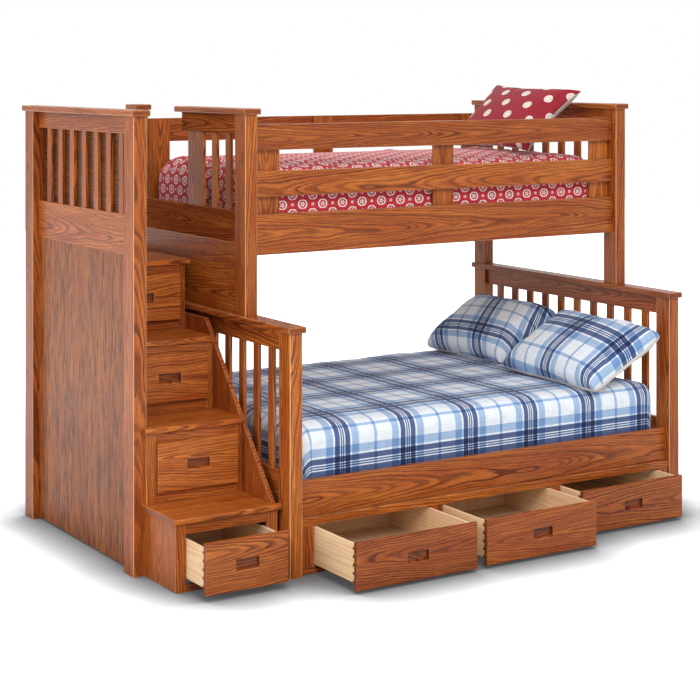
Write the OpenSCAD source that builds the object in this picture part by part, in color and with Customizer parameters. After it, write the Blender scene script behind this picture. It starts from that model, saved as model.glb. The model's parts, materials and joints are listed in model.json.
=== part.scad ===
// Bunk bed: a twin bed on a full bed, with a stair unit at the left end and drawers in the
// stairs and under the lower bed. X runs along the bed, Y from the front to the back, Z up.

/* [Posts and caps] */
// Width of every post along the bed
post_x = 57; // [50:1:76]
// Depth of every post across the bed
post_y = 89; // [84:1:100]
// Thickness of the cap boards
cap_thick = 25; // [18:1:32]
// Overhang of the cap boards past the posts
cap_over = 12; // [4:1:20]
// Height of the lower bed with its caps
lower_top = 986; // [960:1:1010]
// Height of the upper bed and the stair end with their caps
upper_top = 1837; // [1815:1:1880]

/* [Mattresses] */
// Length of both mattresses
mattress_len = 1905; // [1850:1:2030]
// Width of the lower mattress
full_w = 1372; // [1330:1:1530]
// Width of the upper mattress
twin_w = 975; // [900:1:1000]
// Thickness of the lower mattress
full_thick = 268; // [180:1:300]
// Thickness of the upper mattress
twin_thick = 250; // [150:1:280]
// Room between a mattress and the posts at its ends
end_gap = 12.5; // [5:0.5:25]
// Radius of the mattresses' upper edges
pad_edge = 68; // [40:1:70]
// How far the mattresses' sides draw in at their middle
pad_draw = 5; // [0:1:12]

/* [Bed frames] */
// Thickness of rails, guard boards and lower boards
rail_thick = 25; // [20:1:30]
// Setback of the side rails behind the posts' faces
rail_setback = 30; // [20:1:32]
// Lower edge of the lower bed's side rails
full_rail_z = 227; // [210:1:240]
// Height of the lower bed's side rails
full_rail_h = 143; // [135:1:160]
// Lower edge of the upper bed's side rails
twin_rail_z = 1229; // [1200:1:1250]
// Height of the upper bed's side rails
twin_rail_h = 168; // [155:1:175]
// Height of the top rails under the lower caps
full_top_rail_h = 79; // [60:1:100]
// Upper edge of the foot and head boards' lower rails
full_low_rail_top = 406; // [390:1:450]
// Height of the top rails under the upper caps
twin_top_rail_h = 82; // [60:1:100]
// Upper edge of the upper bed's end rails
twin_mid_top = 1410; // [1400:1:1440]
// Height of the left end's middle rail
twin_mid_h = 130; // [100:1:150]
// How far the left end's lower board stands proud of that rail
lower_board_proud = 7; // [0:1:12]
// Width of the vertical slats
slat_w = 42; // [30:1:60]
// Thickness of the vertical slats
slat_thick = 15; // [12:1:20]
// Widest gap between vertical slats
slat_gap = 83; // [70:1:110]

/* [Guard rails] */
// Lower edge of the lower guard boards
guard_low_z = 1470; // [1460:1:1500]
// Height of the lower guard boards
guard_low_h = 106; // [80:1:120]
// Lower edge of the upper guard boards
guard_top_z = 1663; // [1650:1:1690]
// Height of the upper guard boards
guard_top_h = 108; // [80:1:120]
// Width of the guard stiles
stile_w = 108; // [80:1:120]
// Thickness of the guard stiles
stile_thick = 15; // [12:1:20]
// Distance from the post to the first guard stile at the front
stile_inset = 29; // [5:1:30]
// Spacing of the guard stiles
stile_pitch = 894; // [860:1:898]
// Reach of the partial top rail and its cap from the front post
entry_rail_len = 517; // [470:1:560]
// Width of the wide stile that ends the partial rail
end_stile_w = 142; // [100:1:160]

/* [Slatted bases] */
// Number of slats under each mattress
base_slats = 13; // [10:1:15]
// Width of the slats under the mattresses
base_slat_w = 70; // [60:1:90]
// Thickness of the slats under the mattresses
base_slat_thick = 19; // [15:1:22]
// Width of the cleats that carry them
cleat_w = 32; // [28:1:40]
// Height of the cleats that carry them
cleat_h = 25; // [18:1:30]

/* [Stair unit] */
// Width of the stair unit between the stair end and the bed
stair_w = 437; // [420:1:480]
// Depth of the stair end frame in front of the upper bed's posts
stair_end_extra = 15; // [5:1:30]
// Height of the first tread
first_rise = 284; // [278:1:292]
// Rise of the other treads
rise = 299; // [294:1:304]
// Run of each step
run = 258; // [250:1:262]
// Thickness of the treads
tread_thick = 25; // [20:1:30]
// Overhang of the treads past the face frames
nosing = 12; // [6:1:20]
// How far the second tread stands in front of the stair end's post
second_tread_ahead = 31; // [26:1:60]
// Thickness of sides, stringer, back and dividers
panel_thick = 18; // [16:1:20]
// Thickness of the face frames
frame_thick = 19; // [16:1:22]
// Height of the stringer's level part
stringer_top = 948; // [900:1:950]
// Distance behind the first frame at which the stringer's slope ends in its level part
stringer_run = 570; // [560:1:580]

/* [Drawers] */
// Thickness of the drawer fronts
front_thick = 20; // [18:1:24]
// Overlay of a front past its opening
overlay = 2; // [1:0.5:3]
// Height of the drawer boxes
box_h = 150; // [120:1:152]
// Thickness of the boxes' sides and backs
box_side = 12; // [10:1:14]
// Thickness of the boxes' bottoms
box_floor = 6; // [5:1:8]
// Depth of the dovetails in the fronts
tail_len = 14; // [10:1:16]
// Clearance between a box and its opening on each side
box_clear = 2; // [1:0.5:3]
// Width of the stair drawers' fronts
stair_front_w = 360; // [340:1:370]
// Room behind the box of the drawer under the landing
stair_box_room = 116; // [90:1:180]
// Length of the under-bed drawers' boxes
bed_box_len = 600; // [500:1:610]
// Width of the under-bed unit's stiles
unit_stile_w = 58; // [50:1:70]
// Height of the under-bed unit's top rail
unit_top_rail_h = 32; // [26:1:36]
// Width of the pull pockets
pull_w = 100; // [80:1:120]
// Height of the pull pockets
pull_h = 42; // [32:1:50]
// Depth of the pull pockets
pull_deep = 13; // [10:1:14]
// How far the first stair drawer stands open
stair_open_1 = 148; // [0:1:370]
// How far each under-bed drawer stands open
bed_open = [298, 288, 135]; // [0:1:450]

/* [Pillows] */
// Length of the pillows
pillow_len = 600; // [500:1:660]
// Width of the pillows
pillow_w = 450; // [400:1:500]
// Height of a pillow's crown above its seam
pillow_crown = 95; // [60:1:110]
// Depth of a pillow's underside below its seam
pillow_under = 40; // [20:1:45]
// How far a pillow's sides draw in between its corners, as a share of its half width
pillow_draw = 0.09; // [0:0.01:0.15]

/* [Hidden] */

oak = "#a4562b";
dark_oak = "#8a4522";
maple = "#dcb483";
red_cloth = "#b3202c";
blue_cloth = "#5f86bd";
steel = "#8d9094";

// Clearances: glue lines, soft pieces, sliding pieces, a mattress beside rails and stiles, the
// stair unit beside the lower caps
glue = 0.1;
soft_clear = 0.3;
slide_clear = 0.3;
side_gap = 2;
stile_gap = 3.5;
cap_clear = 2;

// Depths across the beds, with zero at the lower bed's front face
rail_in = rail_setback + rail_thick;
full_depth = full_w + 2 * (side_gap + rail_in);
twin_depth = twin_w + 2 * (stile_gap + stile_thick + rail_in);
twin_y = full_depth - twin_depth;
end_y = twin_y - stair_end_extra;
rear_post_y = full_depth - post_y;

// Places along the bed, with zero at the stair end's outer face
unit_x = post_x;
unit_end_x = unit_x + stair_w;
bed_x = unit_end_x + cap_over + cap_clear;
inner_x = bed_x + post_x;
inner_len = mattress_len + 2 * end_gap;
outer_x = inner_x + inner_len;
bed_end_x = outer_x + post_x;

// Heights
full_post_top = lower_top - cap_thick;
upper_post_top = upper_top - cap_thick;
full_top_rail_z = full_post_top - full_top_rail_h;
twin_top_rail_z = upper_post_top - twin_top_rail_h;
cleat_lift = 36;
twin_cleat_lift = 82;
cleat_z = full_rail_z + cleat_lift;
full_slat_z = cleat_z + cleat_h;
full_bed_z = full_slat_z + base_slat_thick;
twin_cleat_z = twin_rail_z + twin_cleat_lift;
twin_slat_z = twin_cleat_z + cleat_h;
twin_bed_z = twin_slat_z + base_slat_thick;

// The stair end frame's rails, slats and panels
end_rail_x = 30;
end_top_rail_h = 73;
end_mid_top = 1415;
end_mid_h = 163;
end_slats = 7;
end_panel_z = 8;
end_panel_setback = 1;
end_slat_x = end_rail_x + (rail_thick - slat_thick) / 2;
end_backing = 5;

// The lengths of the foot and head boards' slats
cross_len = rear_post_y - post_y;
twin_cross_y = twin_y + post_y;
twin_cross_len = rear_post_y - twin_cross_y;

// The stair unit: its two lowest steps reach past its left side and stand before the stair end
steps = 4;
first_tread_y = end_y - second_tread_ahead - run;
step_reach = 11;
step_x = unit_x - step_reach;
first_tread_lip = 12;
second_tread_lip = 8;
tread_round = 0.36 * tread_thick;
front_margin = 31;
front_x = unit_x + front_margin;
opening_x = front_x + overlay;
opening_end_x = front_x + stair_front_w - overlay;
stringer_x = unit_end_x - panel_thick;
back_setback = 6;
stair_back_y = full_depth - back_setback;
stair_side_end = stair_back_y - panel_thick;
stair_box_len = stair_side_end - stair_box_room - face_y(steps - 1);
low_margin = 42;
top_margin = 34;
first_front_z = 24;
stair_front_h = rise - tread_thick - low_margin - top_margin;
spacer_z = 300;
spacer_h = 300;

// The drawers
box_lift = 27;
rail_under = 5;
unit_y = 9;
unit_front_z = 12;
unit_bottom_rail_h = 29;
unit_top = full_rail_z;
unit_room = 20;
unit_back_y = unit_y + frame_thick + bed_box_len + unit_room;
bays = 3;
bay_pitch = (inner_len - unit_stile_w) / bays;
bay_w = bay_pitch - unit_stile_w;
bed_front_w = bay_w + 2 * overlay;
bed_front_h = unit_top - unit_top_rail_h + overlay - unit_front_z;
first_bay_x = inner_x + unit_stile_w + bay_w / 2;
back_thick = 12;

// The mattresses' lower edge, corners and crown
pad_low = 22;
pad_corner = 55;
pad_crown = 5;
crown_reach = 130;

front_round = 5;
pull_slope = 9;
box_inset = overlay + box_clear;
floor_lift = 10;
groove = 5;
tail_pitch = 32;
top_tail = 2;
tails = 5;
tail_tip = 12;
tail_root = 9;
ledge_h = 12;
ledge_in = 15;
guide_h = 40;

// The corner brackets and their bolts, and the pins between the beds
bracket_thick = 3;
bracket_long = 60;
bracket_short = 32;
bracket_h = 68;
bracket_lift = 5;
bolt_r = 4;
bolt_clear = 0.15;
bolt_head_r = 8;
bolt_head = 4;
bolt_in = 18;
pin_r = 6;
pin_clear = 0.15;
pin_in = 40;

// The ends of the cleats and slats beside the brackets, the guard stiles' lap over the rails,
// the rear stiles' shift, and the partial rail's run past its end stile
cleat_end_gap = 10;
slat_end_gap = 15;
stile_lap = 60;
rear_stile_shift = -16;
rail_past_stile = 49;

// The pillows' middles, from the head posts and from each bed's front or back, and their turns
rear_pillow_in = 198;
rear_pillow_back = 415;
rear_pillow_turn = [1, -29, 4];
front_pillow_in = 240;
front_pillow_y = 340;
front_pillow_turn = [2.6, -26, 3];
twin_pillow_in = 240;
twin_pillow_y = 470;
twin_pillow_turn = [1, -41, 2.5];

// The whole model's middle, which is the origin of the part
front_most = min(unit_y - front_thick - max(bed_open),
                 first_tread_y + nosing - front_thick - stair_open_1, -cap_over);
mid_x = bed_end_x / 2;
mid_y = (full_depth + cap_over + front_most) / 2;

function tread_y(k) = first_tread_y + k * run;
function face_y(k) = tread_y(k) + nosing;
function tread_top(k) = first_rise + k * rise;
function step_base(k) = k == 0 ? 0 : tread_top(k - 1);
function stair_front_z(k) = k == 0 ? first_front_z : step_base(k) + low_margin;
function bay_x(i) = first_bay_x + i * bay_pitch;
function stair_x() = front_x + stair_front_w / 2;

// A board from one corner to the other
module board(from, to) {
    translate(from) cube(to - from);
}

// Copies the children to the part's own origin
module placed() {
    translate([-mid_x, -mid_y, 0]) children();
}

// Upright slats shared out evenly between two posts, with no gap wider than slat_gap
module slat_row(x, y, length, z, top) {
    count = ceil((length - slat_gap) / (slat_w + slat_gap));
    gap = (length - count * slat_w) / (count + 1);
    for (i = [0 : count - 1]) {
        y0 = y + gap + i * (slat_w + gap);
        board([x - slat_thick / 2, y0, z], [x + slat_thick / 2, y0 + slat_w, top]);
    }
}

// The places of the eight corner brackets, each turned into its corner
module at_corners(front_y, z) {
    for (side = [0, 1], rear = [0, 1])
        translate([side ? outer_x : inner_x, rear ? full_depth - rail_in : front_y + rail_in, z])
            mirror([side, 0, 0]) mirror([0, rear, 0]) children();
}

module at_full_corners() {
    at_corners(0, full_rail_z + bracket_lift) children();
}

module at_twin_corners() {
    at_corners(twin_y, twin_rail_z + bracket_lift) children();
}

// One bracket's two shanks: one runs into the rail, one into the post
module shanks(r) {
    translate([0.6 * bracket_long, bracket_thick, bracket_h / 2]) rotate([90, 0, 0])
        cylinder(h = bracket_thick + bolt_in, r = r, $fn = 32);
    translate([bracket_thick, 0.6 * bracket_short, bracket_h / 2]) rotate([0, -90, 0])
        cylinder(h = bracket_thick + bolt_in, r = r, $fn = 32);
}

module bolt_pair() {
    shanks(bolt_r);
    translate([0.6 * bracket_long, bracket_thick + bolt_head, bracket_h / 2]) rotate([90, 0, 0])
        cylinder(h = bolt_head, r = bolt_head_r, $fn = 32);
    translate([bracket_thick + bolt_head, 0.6 * bracket_short, bracket_h / 2]) rotate([0, -90, 0])
        cylinder(h = bolt_head, r = bolt_head_r, $fn = 32);
}

// The pins' places: through each lower cap, under each post of the upper bed
module at_pins() {
    for (x = [bed_x, outer_x], y = [twin_y, rear_post_y])
        translate([x + post_x / 2, y + post_y / 2, full_post_top - pin_in]) children();
}

module pin_bores() {
    at_pins() cylinder(h = 2 * pin_in + cap_thick, r = pin_r + pin_clear, $fn = 32);
}

// Stair end frame
module stair_posts() {
    color(oak) for (y = [end_y, rear_post_y])
        board([0, y, 0], [post_x, y + post_y, upper_post_top]);
}

module stair_cap() {
    color(oak) board([-cap_over, end_y - cap_over, upper_post_top],
                     [post_x + cap_over, full_depth + cap_over, upper_top]);
}

module stair_end_rails() {
    x1 = end_rail_x + rail_thick;
    y0 = end_y + post_y;
    color(oak) {
        board([end_rail_x, y0, upper_post_top - end_top_rail_h], [x1, rear_post_y, upper_post_top]);
        board([end_rail_x, y0, end_mid_top - end_mid_h], [x1, rear_post_y, end_mid_top]);
    }
}

module stair_slats() {
    length = rear_post_y - end_y - post_y;
    gap = (length - end_slats * slat_w) / (end_slats + 1);
    color(oak) for (i = [0 : end_slats - 1]) {
        y = end_y + post_y + gap + i * (slat_w + gap);
        board([end_slat_x, y, end_mid_top],
              [end_slat_x + slat_thick, y + slat_w, upper_post_top - end_top_rail_h]);
    }
}

// The large panel below the middle rail, and the thin one that closes the frame behind the slats
module stair_end_panel() {
    x = end_rail_x + end_panel_setback;
    backing_x = end_slat_x + slat_thick;
    y0 = end_y + post_y;
    color(dark_oak) {
        board([x, y0, end_panel_z], [x + panel_thick, rear_post_y, end_mid_top - end_mid_h]);
        board([backing_x, y0, end_mid_top],
              [backing_x + end_backing, rear_post_y, upper_post_top - end_top_rail_h]);
    }
}

// Stair unit: the left side is a board beside the first drawer and a stepped board behind it
module stair_side_left() {
    side_y = face_y(1) + frame_thick;
    outline = concat(
        [[stair_side_end, 0], [side_y, 0]],
        [for (k = [1 : steps - 1], up = [0, 1]) if (k > 1 || up == 1)
            [face_y(k) + frame_thick, tread_top(up ? k : k - 1) - tread_thick]],
        [[stair_side_end, tread_top(steps - 1) - tread_thick]]);
    color(oak) {
        board([step_x, face_y(0) + frame_thick, 0],
              [step_x + panel_thick, side_y - glue, first_rise - tread_thick]);
        translate([unit_x, 0, 0]) rotate([90, 0, 90]) linear_extrude(panel_thick) polygon(outline);
    }
}

// The right side is a stringer with a sloped front edge, a board under the landing, and the
// block that keeps the unit off the bed's rear post
module stair_side_right() {
    y0 = face_y(0) + frame_thick;
    outline = [[y0, 0], [y0, first_rise], [y0 + stringer_run, stringer_top],
               [stair_side_end, stringer_top], [stair_side_end, 0]];
    top = tread_top(steps - 1) - tread_thick;
    color(oak) {
        translate([stringer_x, 0, 0]) rotate([90, 0, 90]) linear_extrude(panel_thick) polygon(outline);
        board([stringer_x - panel_thick, face_y(3) + frame_thick, tread_top(2)],
              [stringer_x - glue, stair_side_end, top]);
        board([unit_end_x + glue, rear_post_y, spacer_z], [bed_x, stair_side_end, spacer_z + spacer_h]);
    }
}

module stair_back() {
    color(oak) board([unit_x, stair_side_end, 0],
                     [unit_end_x, stair_back_y, tread_top(steps - 1) - tread_thick]);
}

// A tread's cross-section, with a rounded nosing at its front
module tread_section(depth) {
    r = tread_round;
    polygon(concat(
        [for (a = [180 : 15 : 270]) [r + r * cos(a), r + r * sin(a)]],
        [[depth, 0], [depth, tread_thick]],
        [for (a = [90 : 15 : 180]) [r + r * cos(a), tread_thick - r + r * sin(a)]]));
}

module tread_board(k, x0, x1, depth) {
    translate([x0, tread_y(k), tread_top(k) - tread_thick]) rotate([90, 0, 90])
        linear_extrude(x1 - x0) tread_section(depth);
}

// The first tread butts against the bed's front post and is notched behind the stringer's foot
module tread_1() {
    y0 = face_y(0) + frame_thick;
    y1 = face_y(1) + frame_thick;
    color(oak) difference() {
        tread_board(0, step_x - first_tread_lip, bed_x, y1 - tread_y(0));
        translate([stringer_x, y0, 0]) cube([bed_x, run, 2 * first_rise]);
    }
}

// The second tread is notched round the stair end's front post
module tread_2() {
    y1 = face_y(2) + frame_thick;
    color(oak) difference() {
        tread_board(1, step_x - second_tread_lip, stringer_x, y1 - tread_y(1));
        translate([-post_x, end_y, 0]) cube([unit_x + post_x, 2 * run, 2 * tread_top(1)]);
    }
}

module tread_3() {
    color(oak) tread_board(2, unit_x, stringer_x, face_y(3) + frame_thick - tread_y(2));
}

module tread_4() {
    color(oak) tread_board(3, unit_x, unit_end_x, stair_back_y - tread_y(3));
}

// Each step's face frame: two stiles between a bottom rail and a top rail
module face_frame(k) {
    x0 = k < 2 ? step_x : unit_x;
    x1 = k == 0 ? unit_end_x : stringer_x;
    y0 = face_y(k);
    y1 = y0 + frame_thick;
    z0 = step_base(k);
    z1 = stair_front_z(k) + overlay;
    z2 = stair_front_z(k) + stair_front_h - overlay;
    z3 = tread_top(k) - tread_thick;
    board([x0, y0, z0], [opening_x, y1, z3]);
    board([opening_end_x, y0, z0], [x1, y1, z3]);
    board([opening_x + glue, y0, z0], [opening_end_x - glue, y1, z1]);
    board([opening_x + glue, y0, z2], [opening_end_x - glue, y1, z3]);
}

module stair_face_frames() {
    color(oak) for (k = [0 : steps - 1]) face_frame(k);
}

// A ledge that a box slides on and a guide beside it, from a wall to a box's edge
module runner(wall_x, box_x, y, length, z) {
    out = box_x > wall_x ? 1 : -1;
    x_ledge = [wall_x, box_x + out * ledge_in];
    x_guide = [wall_x, box_x - out * slide_clear];
    z1 = z - slide_clear;
    board([min(x_ledge), y, z1 - ledge_h], [max(x_ledge), y + length, z1]);
    board([min(x_guide), y, z1 + glue], [max(x_guide), y + length, z1 + guide_h]);
}

module stair_drawer_runners() {
    box_x0 = front_x + box_inset;
    box_x1 = front_x + stair_front_w - box_inset;
    color(maple) for (k = [0 : steps - 1]) {
        y = face_y(k) + frame_thick;
        z = stair_front_z(k) + box_lift;
        runner(unit_x + panel_thick, box_x0, y, stair_box_len, z);
        runner(k == steps - 1 ? stringer_x - panel_thick : stringer_x, box_x1, y, stair_box_len, z);
    }
}

module bed_drawer_runners() {
    color(maple) for (i = [0 : bays - 1], side = [-1, 1]) {
        wall = i == 0 && side < 0 ? inner_x + panel_thick
             : i == bays - 1 && side > 0 ? outer_x - panel_thick
             : bay_x(i) + side * (bay_pitch - panel_thick) / 2;
        runner(wall, bay_x(i) + side * (bed_front_w / 2 - box_inset), unit_y + frame_thick,
               bed_box_len, unit_front_z + box_lift);
    }
}

// The dovetails' places on a box's side, as outlines across its length (first) and height
module tail_outlines() {
    for (i = [0 : tails - 1]) {
        z = box_h - top_tail - i * tail_pitch;
        intersection() {
            polygon([[0, z - tail_tip], [0, z + tail_tip],
                     [tail_len, z + tail_root], [tail_len, z - tail_root]]);
            square([tail_len, box_h]);
        }
    }
}

// One side of a box with its tails: length along Y, thickness along X from zero
module box_side_board(length) {
    rotate([90, 0, 90]) linear_extrude(box_side) union() {
        tail_outlines();
        translate([tail_len, 0]) square([length - tail_len, box_h]);
    }
}

// The box's floor, which sits in grooves and passes under the back. The grooves are a glue line
// larger than the floor.
module floor_panel(inner_w, length, spare) {
    board([-inner_w / 2 - groove - spare, tail_len - groove - spare, floor_lift - spare],
          [inner_w / 2 + groove + spare, length + spare, floor_lift + box_floor + spare]);
}

// A drawer's front: a slab with eased edges and a pull pocket, and a block that holds the tails.
// Zero is the middle of the slab's lower edge on the face frame's plane.
module drawer_front(w, h, length) {
    box_w = w - 2 * box_inset;
    inner_w = box_w - 2 * box_side;
    difference() {
        union() {
            intersection() {
                translate([-w / 2, 0, 0]) rotate([90, 0, 90]) linear_extrude(w) eased_section(h);
                linear_extrude(h) rotate(90) mirror([0, 1]) translate([0, -w / 2]) eased_section(w);
            }
            translate([-box_w / 2, 0, box_lift]) cube([box_w, tail_len, box_h]);
        }
        pull_pocket(h);
        translate([0, 0, box_lift]) {
            for (x = [-box_w / 2, inner_w / 2])
                translate([x, 0, 0]) rotate([90, 0, 90]) linear_extrude(box_side) tail_outlines();
            floor_panel(inner_w, length, glue);
        }
    }
}

// A slab's section, front_thick deep and span long, with its two front corners rounded
module eased_section(span) {
    r = front_round;
    t = front_thick;
    polygon(concat(
        [[0, 0]],
        [for (a = [270 : -15 : 180]) [-t + r + r * cos(a), r + r * sin(a)]],
        [for (a = [180 : -15 : 90]) [-t + r + r * cos(a), span - r + r * sin(a)]],
        [[0, span]]));
}

// The pocket runs back level at its top and slopes down towards its mouth
module pull_pocket(h) {
    z = h / 2;
    translate([-pull_w / 2, -front_thick, z]) rotate([90, 0, 90]) linear_extrude(pull_w)
        polygon([[-1, -pull_h / 2], [1, -pull_h / 2], [pull_deep, -pull_h / 2 + pull_slope],
                 [pull_deep, pull_h / 2], [-1, pull_h / 2]]);
}

module drawer_box(w, length) {
    box_w = w - 2 * box_inset;
    inner_w = box_w - 2 * box_side;
    translate([0, 0, box_lift]) {
        difference() {
            for (x = [-box_w / 2, inner_w / 2]) translate([x, 0, 0]) box_side_board(length);
            floor_panel(inner_w, length, glue);
        }
        floor_panel(inner_w, length, 0);
        board([-inner_w / 2 + glue, length - box_side, floor_lift + box_floor + glue],
              [inner_w / 2 - glue, length, box_h]);
    }
}

module stair_front(k) {
    open = k == 0 ? stair_open_1 : 0;
    color(oak) translate([stair_x(), face_y(k) - open, stair_front_z(k)])
        drawer_front(stair_front_w, stair_front_h, stair_box_len);
}

module stair_box(k) {
    open = k == 0 ? stair_open_1 : 0;
    color(maple) translate([stair_x(), face_y(k) - open, stair_front_z(k)])
        drawer_box(stair_front_w, stair_box_len);
}

module bed_front(i) {
    color(oak) translate([bay_x(i), unit_y - bed_open[i], unit_front_z])
        drawer_front(bed_front_w, bed_front_h, bed_box_len);
}

module bed_box(i) {
    color(maple) translate([bay_x(i), unit_y - bed_open[i], unit_front_z])
        drawer_box(bed_front_w, bed_box_len);
}

// Lower bed
module full_posts() {
    color(oak) difference() {
        for (x = [bed_x, outer_x], y = [0, rear_post_y])
            board([x, y, 0], [x + post_x, y + post_y, full_post_top]);
        pin_bores();
        at_full_corners() shanks(bolt_r + bolt_clear);
    }
}

module full_caps() {
    color(oak) difference() {
        for (x = [bed_x, outer_x])
            board([x - cap_over, -cap_over, full_post_top],
                  [x + post_x + cap_over, full_depth + cap_over, lower_top]);
        pin_bores();
    }
}

// A rail across the bed, centred on the posts, from one post to the other
module cross_rail(x, y, length, z, top) {
    mid = x + post_x / 2;
    board([mid - rail_thick / 2, y, z], [mid + rail_thick / 2, y + length, top]);
}

module full_end_rails(x) {
    color(oak) difference() {
        union() {
            cross_rail(x, post_y, cross_len, full_top_rail_z, full_post_top);
            cross_rail(x, post_y, cross_len, full_rail_z, full_low_rail_top);
        }
        pin_bores();
    }
}

module footboard_rails() {
    full_end_rails(bed_x);
}

module headboard_rails() {
    full_end_rails(outer_x);
}

module footboard_slats() {
    color(oak) slat_row(bed_x + post_x / 2, post_y, cross_len, full_low_rail_top, full_top_rail_z);
}

module headboard_slats() {
    color(oak) slat_row(outer_x + post_x / 2, post_y, cross_len, full_low_rail_top, full_top_rail_z);
}

// A front board at its setback and the rear board that mirrors it
module side_boards(front_y, z, h) {
    for (y = [front_y + rail_setback, full_depth - rail_in])
        board([inner_x, y, z], [outer_x, y + rail_thick, z + h]);
}

module full_side_rails() {
    color(oak) difference() {
        side_boards(0, full_rail_z, full_rail_h);
        at_full_corners() shanks(bolt_r + bolt_clear);
    }
}

// The slats that carry a mattress, from one cleat to the other
module base(front_y, edge, z) {
    x0 = inner_x + bracket_long + slat_end_gap;
    pitch = (inner_len - 2 * (x0 - inner_x) - base_slat_w) / (base_slats - 1);
    for (i = [0 : base_slats - 1])
        board([x0 + i * pitch, front_y + rail_in + edge, z],
              [x0 + i * pitch + base_slat_w, full_depth - rail_in - edge, z + base_slat_thick]);
}

module full_bed_slats() {
    color(maple) base(0, side_gap, full_slat_z);
}

module cleats(front_y, z) {
    x0 = inner_x + bracket_long + cleat_end_gap;
    x1 = outer_x - bracket_long - cleat_end_gap;
    for (y = [front_y + rail_in, full_depth - rail_in - cleat_w])
        board([x0, y, z], [x1, y + cleat_w, z + cleat_h]);
}

module slat_cleats() {
    color(maple) {
        cleats(0, cleat_z);
        cleats(twin_y, twin_cleat_z);
    }
}

// Upper bed
module twin_posts() {
    color(oak) difference() {
        for (x = [bed_x, outer_x], y = [twin_y, rear_post_y])
            board([x, y, lower_top], [x + post_x, y + post_y, upper_post_top]);
        pin_bores();
        at_twin_corners() shanks(bolt_r + bolt_clear);
    }
}

module upper_cap(x, y0, y1) {
    board([x - cap_over, y0, upper_post_top], [x + post_x + cap_over, y1, upper_top]);
}

// The left end's cap stops short of the entrance, and the rear post has a cap of its own
module twin_caps() {
    color(oak) {
        upper_cap(bed_x, twin_y - cap_over, twin_cross_y + entry_rail_len + 2 * cap_over);
        upper_cap(bed_x, rear_post_y - cap_over, full_depth + cap_over);
        upper_cap(outer_x, twin_y - cap_over, full_depth + cap_over);
    }
}

module twin_left_rails() {
    color(oak) {
        cross_rail(bed_x, twin_cross_y, entry_rail_len, twin_top_rail_z, upper_post_top);
        cross_rail(bed_x, twin_cross_y, twin_cross_len, twin_mid_top - twin_mid_h, twin_mid_top);
    }
}

// Two slats and a wide stile hold up the partial rail
module twin_left_slats() {
    x = bed_x + post_x / 2;
    stile_end = twin_cross_y + entry_rail_len - rail_past_stile;
    stile_y = stile_end - end_stile_w;
    color(oak) {
        slat_row(x, twin_cross_y, stile_y - twin_cross_y, twin_mid_top, twin_top_rail_z);
        board([x - slat_thick / 2, stile_y, twin_mid_top], [x + slat_thick / 2, stile_end, twin_top_rail_z]);
    }
}

module twin_left_board() {
    color(dark_oak) translate([-lower_board_proud, 0, 0])
        cross_rail(bed_x, twin_cross_y, twin_cross_len, lower_top, twin_mid_top - twin_mid_h);
}

module twin_right_rails() {
    color(oak) {
        cross_rail(outer_x, twin_cross_y, twin_cross_len, twin_top_rail_z, upper_post_top);
        cross_rail(outer_x, twin_cross_y, twin_cross_len, twin_rail_z, twin_mid_top);
    }
}

module twin_right_slats() {
    color(oak) slat_row(outer_x + post_x / 2, twin_cross_y, twin_cross_len, twin_mid_top, twin_top_rail_z);
}

module twin_side_rails() {
    color(oak) difference() {
        side_boards(twin_y, twin_rail_z, twin_rail_h);
        at_twin_corners() shanks(bolt_r + bolt_clear);
    }
}

module guard_boards() {
    color(oak) {
        side_boards(twin_y, guard_low_z, guard_low_h);
        side_boards(twin_y, guard_top_z, guard_top_h);
    }
}

// Flat stiles join the guard boards to the side rails, inside the front and the rear boards
module guard_stiles() {
    z = twin_rail_z + twin_rail_h - stile_lap;
    top = guard_top_z + guard_top_h;
    color(oak) for (i = [0 : 2]) {
        x = inner_x + stile_inset + i * stile_pitch;
        board([x, twin_y + rail_in, z], [x + stile_w, twin_y + rail_in + stile_thick, top]);
        board([x + rear_stile_shift, full_depth - rail_in - stile_thick, z],
              [x + rear_stile_shift + stile_w, full_depth - rail_in, top]);
    }
}

module twin_bed_slats() {
    color(maple) base(twin_y, stile_thick + side_gap, twin_slat_z);
}

// Under-bed drawer unit: a face frame, dividers on the floor that carry the rails, and a back
module drawer_unit_frame() {
    y1 = unit_y + frame_thick;
    z1 = rail_under + unit_bottom_rail_h;
    z2 = unit_top - unit_top_rail_h;
    color(oak) {
        board([inner_x, unit_y, rail_under], [outer_x, y1, z1]);
        board([inner_x, unit_y, z2], [outer_x, y1, unit_top]);
        for (i = [0 : bays])
            board([inner_x + i * bay_pitch, unit_y, z1 + glue],
                  [inner_x + i * bay_pitch + unit_stile_w, y1, z2 - glue]);
    }
}

module drawer_unit_dividers() {
    y0 = unit_y + frame_thick;
    color(oak) for (i = [0 : bays]) {
        x = i == 0 ? inner_x : i == bays ? outer_x - panel_thick
          : inner_x + i * bay_pitch + (unit_stile_w - panel_thick) / 2;
        board([x, y0, 0], [x + panel_thick, unit_back_y, unit_top]);
    }
}

module drawer_unit_back() {
    color(oak) board([inner_x, unit_back_y, rail_under], [outer_x, unit_back_y + back_thick, unit_top]);
}

module alignment_pins() {
    color(steel) at_pins() cylinder(h = 2 * pin_in + cap_thick, r = pin_r, $fn = 32);
}

module bracket() {
    difference() {
        union() {
            cube([bracket_long, bracket_thick, bracket_h]);
            cube([bracket_thick, bracket_short, bracket_h]);
        }
        shanks(bolt_r + bolt_clear);
    }
}

module rail_brackets() {
    color(steel) {
        at_full_corners() bracket();
        at_twin_corners() bracket();
    }
}

module bracket_bolts() {
    color(steel) {
        at_full_corners() bolt_pair();
        at_twin_corners() bolt_pair();
    }
}

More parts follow.
